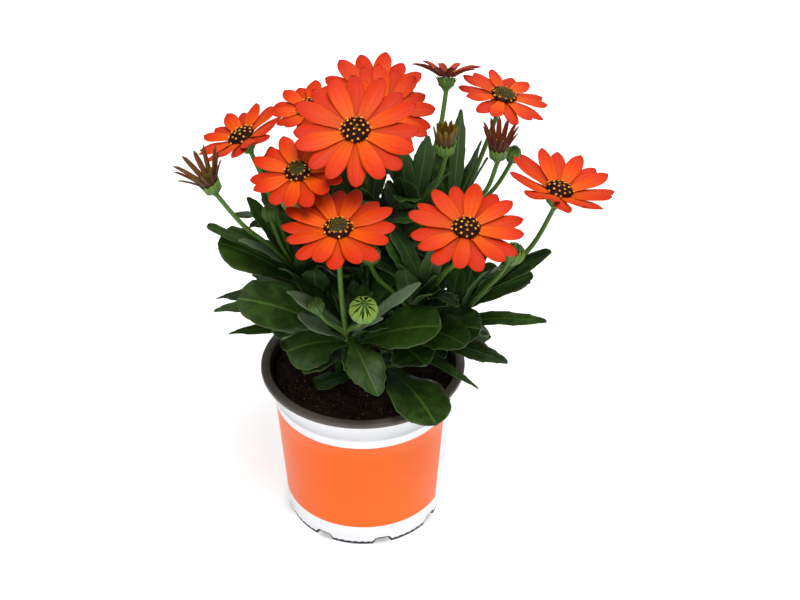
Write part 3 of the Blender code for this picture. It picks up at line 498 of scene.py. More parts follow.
def blade(pairs):
    """Closed thin blade from rows of pairs: a point of its upper side and the one below it."""
    rows = len(pairs)
    columns = len(pairs[0])
    size = rows * columns
    verts = [pair[side] for side in (0, 1) for row in pairs for pair in row]
    faces = grid_faces(rows, columns) + flipped(grid_faces(rows, columns, start=size))
    rim = list(range(columns))
    rim += [row * columns + columns - 1 for row in range(1, rows)]
    rim += [(rows - 1) * columns + column for column in range(columns - 2, -1, -1)]
    rim += [row * columns for row in range(rows - 2, 0, -1)]
    for number, corner in enumerate(rim):
        after = rim[(number + 1) % len(rim)]
        faces.append((corner, corner + size, after + size, after))
    return verts, faces


def ring_tube(centres, radii, sides, ribs=0.0):
    """Closed tube with a fan at each end, and faint ribs if asked."""
    last = len(centres) - 1
    tangents = [(centres[min(number + 1, last)] - centres[max(number - 1, 0)]).normalized()
                for number in range(last + 1)]
    normal = tangents[0].orthogonal().normalized()
    verts = []
    for centre, tangent, radius in zip(centres, tangents, radii):
        normal = (normal - tangent * normal.dot(tangent)).normalized()
        across = tangent.cross(normal)
        for side in range(sides):
            angle = math.tau * side / sides
            reach = radius * (1.0 + ribs * (side % 2))
            verts.append(centre + (normal * math.cos(angle) + across * math.sin(angle)) * reach)
    faces = grid_faces(last + 1, sides, closed=True)
    verts += [centres[0], centres[-1]]
    for side in range(sides):
        after = (side + 1) % sides
        faces.append((len(verts) - 2, after, side))
        faces.append((len(verts) - 1, last * sides + side, last * sides + after))
    return verts, faces


def smooth_path(points, radii, steps):
    """Finer points and radii on a curve through the given ones."""
    fine_points = []
    fine_radii = []
    for number in range(len(points) - 1):
        before = points[max(number - 1, 0)]
        start = points[number]
        end = points[number + 1]
        after = points[min(number + 2, len(points) - 1)]
        for step in range(steps):
            share = step / steps
            cube = share ** 3
            square = share ** 2
            fine_points.append(0.5 * ((2 * start) + (end - before) * share
                                      + (2 * before - 5 * start + 4 * end - after) * square
                                      + (3 * start - before - 3 * end + after) * cube))
            fine_radii.append(mix((radii[number], radii[number + 1]), share))
    return fine_points + [points[-1]], fine_radii + [radii[-1]]


class Shader:
    """Short names for the nodes that the materials are made of."""

    def __init__(self, name):
        self.material = bpy.data.materials.new(name)
        self.material.use_nodes = True
        self.tree = self.material.node_tree
        self.surface = self.tree.nodes["Principled BSDF"]

    def wire(self, value, socket):
        if isinstance(value, bpy.types.NodeSocket):
            self.tree.links.new(value, socket)
        else:
            socket.default_value = value

    def math(self, operation, first, second=0.0, third=0.0, clamp=False):
        made = self.tree.nodes.new("ShaderNodeMath")
        made.operation = operation
        made.use_clamp = clamp
        for number, value in enumerate((first, second, third)):
            self.wire(value, made.inputs[number])
        return made.outputs[0]

    def scaled(self, value, share):
        return self.math("MULTIPLY", value, share)

    def marks(self, *names):
        """Output of each named mark that the mesh carries."""
        made = [self.tree.nodes.new("ShaderNodeAttribute") for _ in names]
        for node, name in zip(made, names):
            node.attribute_name = name
        return [node.outputs["Fac"] for node in made]

    def place(self):
        return self.tree.nodes.new("ShaderNodeTexCoord").outputs["Object"]

    def parts(self, source):
        made = self.tree.nodes.new("ShaderNodeSeparateXYZ")
        self.wire(source, made.inputs[0])
        return made.outputs

    def noise(self, scale, detail=3.0, roughness=0.5, source=None):
        made = self.tree.nodes.new("ShaderNodeTexNoise")
        made.inputs["Scale"].default_value = scale
        made.inputs["Detail"].default_value = detail
        made.inputs["Roughness"].default_value = roughness
        self.wire(source or self.place(), made.inputs["Vector"])
        return made.outputs["Fac"]

    def cells(self, scale):
        made = self.tree.nodes.new("ShaderNodeTexVoronoi")
        made.inputs["Scale"].default_value = scale
        self.wire(self.place(), made.inputs["Vector"])
        return made.outputs

    def ramp(self, value, *stops):
        """Colours or greys at positions from 0 to 1."""
        made = self.tree.nodes.new("ShaderNodeValToRGB")
        ramp = made.color_ramp
        while len(ramp.elements) < len(stops):
            ramp.elements.new(0.5)
        for element, (position, colour) in zip(ramp.elements, stops):
            element.position = position
            element.color = (*colour, 1.0) if isinstance(colour, tuple) else (colour,) * 3 + (1.0,)
        self.wire(value, made.inputs[0])
        return made.outputs["Color"]

    def blend(self, share, first, second, mode="MIX"):
        made = self.tree.nodes.new("ShaderNodeMix")
        made.data_type = "RGBA"
        made.blend_type = mode
        self.wire(share, made.inputs["Factor"])
        for value, socket in ((first, made.inputs[6]), (second, made.inputs[7])):
            self.wire((*value, 1.0) if isinstance(value, tuple) else value, socket)
        return made.outputs[2]

    def above(self, value, edge, soft):
        """Zero below an edge and one above it, with a soft step."""
        made = self.tree.nodes.new("ShaderNodeMapRange")
        made.interpolation_type = "SMOOTHSTEP"
        made.inputs[1].default_value = edge - soft
        made.inputs[2].default_value = edge + soft
        self.wire(value, made.inputs[0])
        return made.outputs[0]

    def band(self, value, low, high, soft):
        """One between low and high, zero outside, with soft edges."""
        return self.math("SUBTRACT", self.above(value, low, soft), self.above(value, high, soft),
                         clamp=True)

    def bump(self, height, distance, strength=1.0):
        made = self.tree.nodes.new("ShaderNodeBump")
        made.inputs["Strength"].default_value = strength
        made.inputs["Distance"].default_value = distance * METRES_PER_MM
        self.wire(height, made.inputs["Height"])
        self.wire(made.outputs[0], self.surface.inputs["Normal"])

    def finish(self, colour, roughness, **numbers):
        self.wire(colour, self.surface.inputs["Base Color"])
        self.wire(roughness, self.surface.inputs["Roughness"])
        for name, value in numbers.items():
            self.surface.inputs[name.replace("_", " ")].default_value = value
        return self.material


def petal_material():
    """Orange-red petals, yellower at the foot and dark red-brown beneath.

    The tone mark carries a random tone and is higher on the lower layer, which is painted darker and
    redder as shadow under the upper layer, darkest at its foot.
    """
    shader = Shader("petal_orange")
    along, across, side, tone = shader.marks("along", "across", "side", "tone")
    fan = shader.math("ABSOLUTE", across)
    upper = shader.ramp(along, (0.0, (0.80, 0.125, 0.002)), (0.30, (0.76, 0.086, 0.0012)),
                        (0.70, (0.62, 0.034, 0.0008)), (1.0, (0.48, 0.015, 0.0006)))
    # Lower layer: painted shadow, the petal colour made darker and redder as under the upper petals,
    # darkest at the foot
    lower = shader.ramp(along, (0.0, (0.20, 0.008, 0.001)), (0.40, (0.44, 0.018, 0.001)),
                        (0.75, (0.50, 0.017, 0.0008)), (1.0, (0.42, 0.010, 0.0005)))
    # Half of the tone mark is the lower layer's painted shadow, the rest a random tone
    face = shader.blend(tone, upper, lower)
    # Fine vein lines are the petal's own colour; the darker band along each groove is painted shadow
    # in the crease
    lines = shader.math("SINE", shader.scaled(across, 34.0))
    streaks = shader.math("MULTIPLY_ADD", lines, 0.5, 0.5)
    groove = shader.band(fan, 0.34, 0.42, 0.05)
    vein_lines_and_groove_shadow = shader.math("ADD", shader.scaled(streaks, 0.16), shader.scaled(groove, 0.34),
                        clamp=True)
    face = shader.blend(vein_lines_and_groove_shadow, face, (0.50, 0.010, 0.001))
    edge = shader.band(fan, 0.97, 2.0, 0.02)
    face = shader.blend(shader.scaled(edge, 0.35), face, (0.95, 0.13, 0.02))
    under = shader.ramp(fan, (0.0, (0.16, 0.012, 0.004)), (0.5, (0.26, 0.018, 0.004)),
                        (1.0, (0.52, 0.030, 0.003)))
    colour = shader.blend(side, face, under)
    grain = shader.noise(900.0, 2.0)
    colour = shader.blend(shader.scaled(grain, 0.08), colour, (0.90, 0.13, 0.008))
    shader.bump(shader.math("SUBTRACT", shader.scaled(streaks, 0.5), groove), 0.12, 0.6)
    return shader.finish(colour, 0.5, Specular_IOR_Level=0.14)


def spike_material():
    """Part-open petals: dark red-brown outside, greener on a younger flower.

    The tone mark is higher where the flower is more open and the petals' inside is orange.
    """
    shader = Shader("petal_dark")
    along, across, side, unripe, tone = shader.marks("along", "across", "side", "unripe", "tone")
    outer = shader.ramp(along, (0.0, (0.040, 0.014, 0.006)), (0.45, (0.075, 0.008, 0.004)),
                        (1.0, (0.050, 0.006, 0.004)))
    green = shader.ramp(along, (0.0, (0.030, 0.045, 0.004)), (0.5, (0.12, 0.065, 0.004)),
                        (1.0, (0.26, 0.19, 0.008)))
    outer = shader.blend(unripe, outer, green)
    inner = shader.ramp(along, (0.0, (0.060, 0.016, 0.003)), (0.5, (0.11, 0.010, 0.003)),
                        (1.0, (0.075, 0.007, 0.003)))
    inner = shader.blend(unripe, inner, (0.20, 0.13, 0.006))
    inner = shader.blend(tone, inner, (0.62, 0.050, 0.003))
    outer = shader.blend(shader.scaled(tone, 0.25), outer, (0.55, 0.030, 0.003))
    colour = shader.blend(side, inner, outer)
    lines = shader.math("SINE", shader.scaled(across, 14.0))
    streaks = shader.math("MULTIPLY_ADD", lines, 0.5, 0.5)
    colour = shader.blend(shader.scaled(streaks, 0.35), colour, (0.030, 0.006, 0.004))
    patches = shader.noise(420.0, 2.0)
    colour = shader.blend(shader.scaled(patches, 0.10), colour, (0.24, 0.08, 0.012))
    shader.bump(streaks, 0.10, 0.5)
    return shader.finish(colour, 0.5, Specular_IOR_Level=0.25)


def disc_material():
    """Florets, dark with green tops while closed and orange-yellow pollen where ripe."""
    shader = Shader("disc_florets")
    tip, ripe, tone = shader.marks("tip", "ripe", "tone")
    body = shader.blend(ripe, (0.030, 0.030, 0.006), (0.026, 0.005, 0.003))
    young = shader.blend(tone, (0.070, 0.070, 0.010), (0.14, 0.115, 0.014))
    pollen = shader.blend(tone, (0.62, 0.20, 0.012), (0.85, 0.40, 0.040))
    top = shader.blend(ripe, young, pollen)
    colour = shader.blend(shader.band(tip, 0.72, 2.0, 0.14), body, top)
    return shader.finish(colour, 0.6, Specular_IOR_Level=0.2)


def leaf_material():
    """Leaf blades, stems, cups, bracts and buds; the marks say which is which."""
    shader = Shader("leaf_green")
    along, across, side = shader.marks("along", "across", "side")
    tone, light, grey = shader.marks("tone", "light", "grey")
    fan = shader.math("ABSOLUTE", across)
    face = shader.blend(tone, (0.007, 0.024, 0.002), (0.018, 0.052, 0.004))
    cloud = shader.noise(160.0, 4.0)
    face = shader.blend(shader.band(cloud, 0.52, 2.0, 0.12), face, (0.024, 0.066, 0.006))
    swept = shader.math("ADD", along, shader.scaled(fan, -VEIN_SWEEP))
    ribs = shader.math("FRACT", shader.scaled(swept, VEINS))
    ribs = shader.band(shader.math("ABSOLUTE", shader.math("SUBTRACT", ribs, 0.5)), 0.0, 0.055, 0.04)
    ribs = shader.math("MULTIPLY", ribs, shader.band(fan, 0.04, 0.86, 0.06))
    midrib = shader.band(fan, -1.0, 0.045, 0.035)
    edge = shader.band(fan, 0.965, 2.0, 0.03)
    face = shader.blend(shader.scaled(ribs, 0.16), face, (0.06, 0.14, 0.020))
    face = shader.blend(shader.scaled(midrib, 0.65), face, (0.08, 0.18, 0.028))
    face = shader.blend(shader.scaled(edge, 0.45), face, (0.13, 0.20, 0.060))
    under = shader.blend(tone, (0.036, 0.078, 0.018), (0.055, 0.105, 0.028))
    under = shader.blend(shader.scaled(midrib, 0.6), under, (0.19, 0.30, 0.12))
    colour = shader.blend(side, face, under)
    fresh = shader.ramp(along, (0.0, (0.070, 0.150, 0.026)), (0.55, (0.13, 0.26, 0.035)),
                        (1.0, (0.27, 0.40, 0.050)))
    colour = shader.blend(light, colour, fresh)
    downy = shader.blend(tone, (0.14, 0.21, 0.115), (0.18, 0.25, 0.145))
    colour = shader.blend(grey, colour, downy)
    grain = shader.noise(1500.0, 2.0)
    colour = shader.blend(shader.scaled(grain, 0.07), colour, (0.10, 0.17, 0.05))
    relief = shader.math("SUBTRACT", shader.scaled(grain, 0.25), shader.math("ADD", ribs, midrib))
    shader.bump(relief, 0.18, 0.6)
    rough = shader.ramp(cloud, (0.35, 0.38), (0.7, 0.52))
    return shader.finish(colour, rough, Specular_IOR_Level=0.22, Subsurface_Weight=0.04,
                         Subsurface_Scale=0.002)


def soil_material():
    """Dark peat with fibres, crumbs and a few pale specks."""
    shader = Shader("peat")
    cells = shader.cells(520.0)
    fibres = shader.noise(340.0, 6.0, 0.7)
    colour = shader.ramp(fibres, (0.30, (0.008, 0.004, 0.003)), (0.52, (0.022, 0.010, 0.006)),
                         (0.70, (0.060, 0.026, 0.014)), (0.86, (0.16, 0.075, 0.038)))
    colour = shader.blend(shader.scaled(cells["Distance"], 0.35), colour, (0.006, 0.003, 0.002))
    specks = shader.band(shader.noise(760.0, 0.0), 0.79, 2.0, 0.02)
    colour = shader.blend(specks, colour, (0.30, 0.22, 0.15))
    shader.bump(shader.math("ADD", fibres, cells["Distance"]), 1.1, 0.9)
    return shader.finish(colour, 0.93, Specular_IOR_Level=0.2)


def pot_material():
    """White plastic with a plain orange band and a dark grey-brown lip and inside; inside the rim,
    below the lip's lit top edge, it is painted nearly black as shadow.
    """
    shader = Shader("pot_plastic")
    mm = METRES_PER_MM
    x, y, z = shader.parts(shader.place())
    reach = shader.math("SQRT", shader.math("MULTIPLY_ADD", x, x, shader.math("MULTIPLY", y, y)))
    turn = shader.math("SUBTRACT", shader.math("ARCTAN2", y, x), BAND_MIDDLE_ANGLE)
    turn = shader.math("ABSOLUTE", shader.math("WRAP", turn, math.pi, -math.pi))
    in_band = shader.math("MULTIPLY",
                          shader.band(z, BAND_LOW * mm, BAND_HIGH * mm, BAND_EDGE * mm),
                          shader.band(turn, -1.0, BAND_HALF_ANGLE, BAND_EDGE_ANGLE))
    white = shader.ramp(shader.noise(26.0, 2.0), (0.3, (0.84, 0.86, 0.90)),
                        (0.7, (0.91, 0.92, 0.94)))
    scuff = shader.band(shader.noise(95.0, 6.0, 0.75), 0.72, 2.0, 0.03)
    white = shader.blend(shader.scaled(scuff, 0.18), white, (0.52, 0.53, 0.55))
    orange = shader.ramp(shader.noise(14.0, 1.0), (0.35, (0.88, 0.120, 0.002)),
                         (0.7, (0.92, 0.145, 0.004)))
    colour = shader.blend(in_band, white, orange)
    dark = shader.blend(shader.noise(210.0, 3.0), (0.085, 0.069, 0.060), (0.125, 0.104, 0.092))
    # Painted shadow: inside the rim, below the lip's lit top edge, the dark colour is made nearly
    # black
    below_lip = shader.math("LESS_THAN", z, (POT_HEIGHT - LIP_LIT_DEPTH) * mm)
    within = shader.math("LESS_THAN", reach, (RIM_INNER_RADIUS + LIP_LIT_WIDTH) * mm)
    dark = shader.blend(shader.math("MULTIPLY", below_lip, within), dark, (0.018, 0.014, 0.012))
    cone_foot = WALL_FOOT_RADIUS - WALL_SLOPE * FOOT_LINE_HEIGHT - 0.5 * WALL_THICKNESS
    mid_wall = shader.math("MULTIPLY_ADD", z, WALL_SLOPE, cone_foot * mm)
    inside = shader.math("LESS_THAN", reach, mid_wall)
    above_floor = shader.math("GREATER_THAN", z, 0.9 * FLOOR_THICKNESS * mm)
    lip = shader.math("GREATER_THAN", z, (POT_HEIGHT - LIP_HEIGHT - 0.05) * mm)
    is_dark = shader.math("MAXIMUM", lip, shader.math("MULTIPLY", inside, above_floor))
    colour = shader.blend(is_dark, colour, dark)
    shader.bump(shader.noise(1600.0, 2.0), 0.03, 0.35)
    rough = shader.ramp(shader.noise(60.0, 4.0), (0.3, 0.30), (0.75, 0.42))
    return shader.finish(colour, rough, Specular_IOR_Level=0.22)


def wall_radius(height):
    """Outer radius of the tapering wall."""
    return WALL_FOOT_RADIUS + WALL_SLOPE * (height - FOOT_LINE_HEIGHT)


def pot_stations():
    """Angles round the pot, each with how far it is into a drainage channel, from 0 to 1."""
    stations = []
    for lobe in range(LOBES):
        for degrees in LOBE_ANGLES:
            angle = LOBE_TURN + math.tau * lobe / LOBES + math.radians(degrees)
            stations.append((angle, smooth_step(LOBE_HALF_ANGLE, CHANNEL_HALF_START, abs(degrees))))
    return stations


def pot_profile():
    """Rings of the pot from its middle underneath, up the outside and down the inside.

    Each is a radius, a height, and the height where a drainage channel runs.
    """
    lip_foot = POT_HEIGHT - LIP_HEIGHT
    inner = WALL_THICKNESS
    rings = [(PAD_RADIUS, 0.0, 0.0), (PAD_RADIUS + 0.4 * (CHANNEL_START - PAD_RADIUS), 0.0, 2.6),
             (CHANNEL_START, 0.0, CHANNEL_RISE),
             (FOOT_RADIUS - FOOT_ROUNDING, 0.0, CHANNEL_RISE)]
    for step in (1, 2, 3):
        angle = math.radians(30.0 * step)
        low = FOOT_ROUNDING * (1.0 - math.cos(angle))
        rings.append((FOOT_RADIUS - FOOT_ROUNDING * (1.0 - math.sin(angle)), low,
                      CHANNEL_RISE + 0.4 * low))
    for share in (0.25, 0.5, 0.75, 0.97):
        height = mix((FOOT_ROUNDING, FOOT_LINE_HEIGHT), share)
        radius = mix((FOOT_RADIUS, WALL_FOOT_RADIUS - 0.35), share)
        rings.append((radius, height, max(height, CHANNEL_RISE + 0.6 + 2.2 * share)))
    rings.append((WALL_FOOT_RADIUS, FOOT_LINE_HEIGHT + 0.35, FOOT_LINE_HEIGHT + 0.35))
    for height in (12.0, 30.0, 50.0, 70.0, LEDGE_HEIGHT - 0.9):
        rings.append((wall_radius(height) - 0.25, height, height))
    for height, out in ((LEDGE_HEIGHT - 0.3, LEDGE_STEP), (LEDGE_HEIGHT + 0.5, LEDGE_STEP),
                        (LEDGE_HEIGHT + 1.0, -0.2), (95.0, -0.2), (lip_foot - 0.6, -0.2),
                        (lip_foot - 0.1, 0.5)):
        rings.append((wall_radius(height) + out, height, height))
    rings += [(RIM_RADIUS - 1.0, lip_foot, lip_foot), (RIM_RADIUS - 0.35, lip_foot + 0.25, 0.0),
              (RIM_RADIUS, lip_foot + 0.9, 0.0), (RIM_RADIUS, POT_HEIGHT - 1.1, 0.0),
              (RIM_RADIUS - 0.3, POT_HEIGHT - 0.35, 0.0), (RIM_RADIUS - 1.0, POT_HEIGHT, 0.0),
              (RIM_INNER_RADIUS + 0.8, POT_HEIGHT, 0.0),
              (RIM_INNER_RADIUS + 0.2, POT_HEIGHT - 0.2, 0.0),
              (RIM_INNER_RADIUS - 0.3, POT_HEIGHT - 0.9, 0.0),
              (WALL_TOP_RADIUS - inner, lip_foot - 1.0, 0.0)]
    rings += [(wall_radius(80.0) - inner, 80.0, 80.0), (wall_radius(40.0) - inner, 40.0, 40.0),
              (WALL_FOOT_RADIUS - inner, FOOT_LINE_HEIGHT, FOOT_LINE_HEIGHT),
              (FOOT_RADIUS - FOOT_ROUNDING - inner, FLOOR_THICKNESS, CHANNEL_RISE + FLOOR_THICKNESS),
              (CHANNEL_START - FLOOR_THICKNESS, FLOOR_THICKNESS, CHANNEL_RISE + FLOOR_THICKNESS),
              (PAD_RADIUS - FLOOR_THICKNESS, FLOOR_THICKNESS, FLOOR_THICKNESS)]
    return [(radius, level, max(level, channel)) for radius, level, channel in rings]


def turned(rings, low, high):
    """Closed body through rings of points, with a fan to a point on the axis at each end."""
    count = len(rings[0])
    verts = [point for ring in rings for point in ring] + [UP * low, UP * high]
    faces = grid_faces(len(rings), count, closed=True)
    last = (len(rings) - 1) * count
    for step in range(count):
        after = (step + 1) % count
        faces.append((after, step, len(verts) - 2))
        faces.append((last + step, last + after, len(verts) - 1))
    return verts, faces


def make_pot():
    stations = pot_stations()
    rings = [[spoke(angle, radius, mix((level, channel), depth)) for angle, depth in stations]
             for radius, level, channel in pot_profile()]
    surface = Surface()
    surface.add(*turned(rings, 0.0, FLOOR_THICKNESS))
    return surface.build("pot_fine", pot_material(), "pot")


def soil_level(x, y):
    """Height of the soil, with clods a centimetre or so across."""
    clods = sum(share * math.sin(turn_x * x + turn_y * y + phase)
                for share, turn_x, turn_y, phase in CLODS)
    crown = 1.0 - math.hypot(x, y) / RIM_RADIUS
    return SOIL_HEIGHT + 0.5 * SOIL_RELIEF * clods + SOIL_CROWN * crown


def on_soil(radius, angle, lift=0.0):
    """Point on the soil, whose clods carry crumbs and grit here."""
    x = radius * math.cos(angle)
    y = radius * math.sin(angle)
    crumbs = noise.noise(Vector((0.55 * x, 0.55 * y, 3.0)))
    grit = noise.noise(Vector((1.7 * x, 1.7 * y, 9.0)))
    return Vector((x, y, soil_level(x, y) + 1.1 * crumbs + 0.5 * grit + lift))


def crumb(centre, size, rng):
    """Small angular lump: a squashed, turned octahedron."""
    turn = rng.uniform(0.0, math.tau)
    stretch = rng.uniform(0.6, 1.6)
    verts = []
    for number in range(4):
        reach = size * (stretch if number % 2 else 1.0) * rng.uniform(0.7, 1.1)
        verts.append(centre + spoke(turn + math.tau * number / 4, reach,
                                    size * rng.uniform(-0.2, 0.2)))
    verts += [centre + UP * (CRUMB_HEIGHT * size), centre - UP * (CRUMB_HEIGHT * size)]
    faces = []
    for number in range(4):
        after = (number + 1) % 4
        faces.append((number, after, 4))
        faces.append((after, number, 5))
    return verts, faces


def make_soil():
    inner = WALL_THICKNESS + SOIL_SIDE_GAP
    edge = wall_radius(SOIL_HEIGHT - SOIL_RELIEF) - inner
    bed = CHANNEL_RISE + FLOOR_THICKNESS + GAP
    rings = [circle(FOOT_RADIUS - FOOT_ROUNDING - inner, bed, SOIL_STATIONS),
             circle(WALL_FOOT_RADIUS - inner, FOOT_LINE_HEIGHT + GAP, SOIL_STATIONS),
             circle(edge, SOIL_HEIGHT - SOIL_SHOULDER, SOIL_STATIONS)]
    for number in range(SOIL_RINGS):
        radius = edge * (1.0 - number / SOIL_RINGS)
        rings.append([on_soil(radius, math.tau * step / SOIL_STATIONS)
                      for step in range(SOIL_STATIONS)])
    surface = Surface()
    surface.add(*turned(rings, bed, on_soil(0.0, 0.0).z))
    rng = random.Random("crumbs")
    for _ in range(CRUMBS):
        reach = edge * 0.97 * math.sqrt(rng.random())
        angle = rng.uniform(0.0, math.tau)
        size = rng.uniform(*CRUMB_SIZE)
        surface.add(*crumb(on_soil(reach, angle, CRUMB_SUNK * size), size, rng))
    return surface.build("soil_fine", soil_material(), "soil")


def petal_profile(share):
    """Half width of a ray petal along its length: narrow foot, rounded end."""
    body = 0.42 + 0.58 * smooth_step(-0.15, 0.60, share)
    end = max(0.0, (share - 0.52) / 0.48)
    return body * math.sqrt(max(0.0, 1.0 - end ** 2.3)) + 0.012


def petal_shares():
    """Stations along a petal, from under the disc to the tip, closer together at its end."""
    return [mix((PETAL_ROOT, 1.0), 1.0 - (1.0 - share) ** PETAL_ROW_CROWDING)
            for share in even_shares(PETAL_ROWS)]


def petal_draws(bloom, number, rng):
    """Lift, length and roll of a petal, drawn in the same order as in the CAD."""
    lift = bloom.lift + (UPPER_LAYER_LIFT if number % 2 else 0.0)
    lift += rng.uniform(-PETAL_LIFT_SPREAD, PETAL_LIFT_SPREAD)
    spread = rng.uniform(-PETAL_LENGTH_SPREAD, PETAL_LENGTH_SPREAD)
    length = (bloom.span / 2.0 - bloom.ring) * (1.0 + spread)
    return lift, length, math.radians(rng.uniform(-PETAL_ROLL, PETAL_ROLL))


def petal_axes(out, slope, turn):
    """Directions across a petal and up from its face, where it climbs and is rolled."""
    across = UP.cross(out)
    normal = UP * math.cos(slope) - out * math.sin(slope)
    return (across * math.cos(turn) + normal * math.sin(turn),
            normal * math.cos(turn) - across * math.sin(turn))


def petal(bloom, number, rng):
    """One ray petal, in the flower's own frame."""
    lift, length, roll = petal_draws(bloom, number, rng)
    look = random.Random(f"{bloom.name}-{number}-look")
    wave = look.uniform(0.0, math.tau)
    sway = math.radians(look.uniform(-PETAL_SWAY, PETAL_SWAY))
    width = 0.5 * bloom.petal_width * look.uniform(*PETAL_WIDTH_SPREAD)
    turn = math.radians(look.uniform(-PETAL_TURN_SPREAD, PETAL_TURN_SPREAD))
    out = spoke(math.tau * number / bloom.petals + turn)
    reach = bloom.ring
    rise = PETAL_THICKNESS * (0.5 if number % 2 else -0.5)
    drift = 0.0
    before = 0.0
    pairs = []
    for share in petal_shares():
        outer = max(share, 0.0)
        slope = math.radians(lift - bloom.fall * outer)
        step = (share - before) * length * PETAL_TRIM
        before = share
        reach += math.cos(slope) * step
        rise += math.sin(slope) * step
        drift += math.sin(sway * outer) * step
        side, normal = petal_axes(out, slope, roll * outer)
        centre = out * reach + UP * rise + UP.cross(out) * drift
        half = width * petal_profile(share)
        row = []
        for column in PETAL_COLUMNS:
            height = -PETAL_ARCH * half * column ** 2 * smooth_step(0.0, 0.4, share)
            height += PETAL_RIPPLE * math.sin(7.0 * share + wave) * column ** 3
            off_groove = (abs(column) - PETAL_GROOVE_PLACE) / PETAL_GROOVE_WIDTH
            height -= PETAL_GROOVE * math.exp(-off_groove ** 2) * smooth_step(-0.05, 0.15, share)
            teeth = smooth_step(0.93, 1.0, share) * math.cos(3.0 * math.pi * column)
            point = centre + side * (column * half) + side.cross(normal) * (PETAL_TEETH_DEPTH * teeth)
            thick = 0.5 * mix(PETAL_BLADE, column ** 4) * (1.0 - 0.4 * outer)
            row.append((point + normal * (height + thick), point + normal * (height - thick)))
        pairs.append(row)
    return blade(pairs)


def blade_marks(shares, columns):
    """Marks of a blade's points: along, across and side, in the order of its points."""
    along = [share for share in shares for _ in columns]
    across = list(columns) * len(shares)
    side = [0.0] * len(along) + [1.0] * len(along)
    return {"along": along * 2, "across": across * 2, "side": side}


def placed_in(verts, bloom):
    rotation = frame_towards(bloom.facing)
    centre = vector(bloom.centre)
    return [rotation @ vert + centre for vert in verts]


def make_open_petals(bloom, material):
    rng = random.Random(bloom.name)
    surface = Surface("along", "across", "side", "tone")
    marks = blade_marks(petal_shares(), PETAL_COLUMNS)
    for number in range(bloom.petals):
        verts, faces = petal(bloom, number, rng)
        # A random tone, plus one half on each lower-layer petal for its painted shadow
        tone = random.Random(f"{bloom.name}-{number}-tone").uniform(0.0, 0.5)
        tone += 0.0 if number % 2 else 0.5
        surface.add(placed_in(verts, bloom), faces, tone=tone, **marks)
    return surface.build(bloom.name + "_petals_fine", material, bloom.name + "_petals")


def spike(bloom, number, rng):
    """One narrow petal of a part-open flower, rolled into a channel."""
    lift, length, roll = petal_draws(bloom, number, rng)
    out = spoke(math.tau * number / bloom.petals)
    step = (length + SPIKE_SUNK) / (SPIKE_ROWS - 1)
    reach = bloom.ring - SPIKE_SUNK
    rise = -0.5 * SPIKE_SUNK
    pairs = []
    for share in even_shares(SPIKE_ROWS):
        slope = math.radians(lift - bloom.fall * share)
        if share:
            reach += math.cos(slope) * step
            rise += math.sin(slope) * step
        side, normal = petal_axes(out, slope, roll * share)
        half = SPIKE_HALF_WIDTH * bloom.petal_width * math.sqrt(1.0 - share ** 4) + 0.06
        row = []
        for column in SPIKE_COLUMNS:
            bend = column * SPIKE_BEND
            point = out * reach + UP * rise + side * (math.sin(bend) / SPIKE_BEND * half)
            point += normal * ((1.0 - math.cos(bend)) / SPIKE_BEND * half)
            inward = (normal * math.cos(bend) - side * math.sin(bend)) * SPIKE_HALF_THICKNESS
            row.append((point + inward, point - inward))
        pairs.append(row)
    return blade(pairs)


def make_spikes(bloom, material):
    rng = random.Random(bloom.name)
    surface = Surface("along", "across", "side", "unripe", "tone")
    marks = blade_marks(even_shares(SPIKE_ROWS), SPIKE_COLUMNS)
    for number in range(bloom.petals):
        verts, faces = spike(bloom, number, rng)
        unripe = UNRIPE_SHARES[bloom.name] * rng.uniform(0.7, 1.2)
        tone = OPEN_SHARES.get(bloom.name, 0.0) * rng.uniform(0.5, 1.1)
        surface.add(placed_in(verts, bloom), faces, unripe=unripe, tone=tone, **marks)
    return surface.build(bloom.name + "_petals_fine", material,
                         bloom.name + "_petals")


def floret(centre, normal, height, radius, bulge):
    """Small upright floret: a stalk that swells into a rounded or split top."""
    profile = ((0.0, 0.55), (0.45, 0.62), (0.74, bulge), (0.92, 0.72 * bulge), (1.0, 0.2))
    centres = [centre + normal * (height * rise) for rise, _ in profile]
    radii = [radius * width for _, width in profile]
    verts, faces = ring_tube(centres, radii, FLORET_SIDES)
    tip = [rise for rise, _ in profile for _ in range(FLORET_SIDES)] + [0.0, 1.0]
    return verts, faces, tip


def add_dome(surface, bloom, foot, height):
    """Smooth dome that the florets stand on."""
    rings = [circle(bloom.disc * DISC_SHARE * math.sqrt(1.0 - rise ** 2), foot + rise * height,
                    DISC_SIDES) for rise in DISC_LEVELS]
    verts, faces = turned(rings, foot, foot + height)
    surface.add(placed_in(verts, bloom), faces, ripe=1.0)


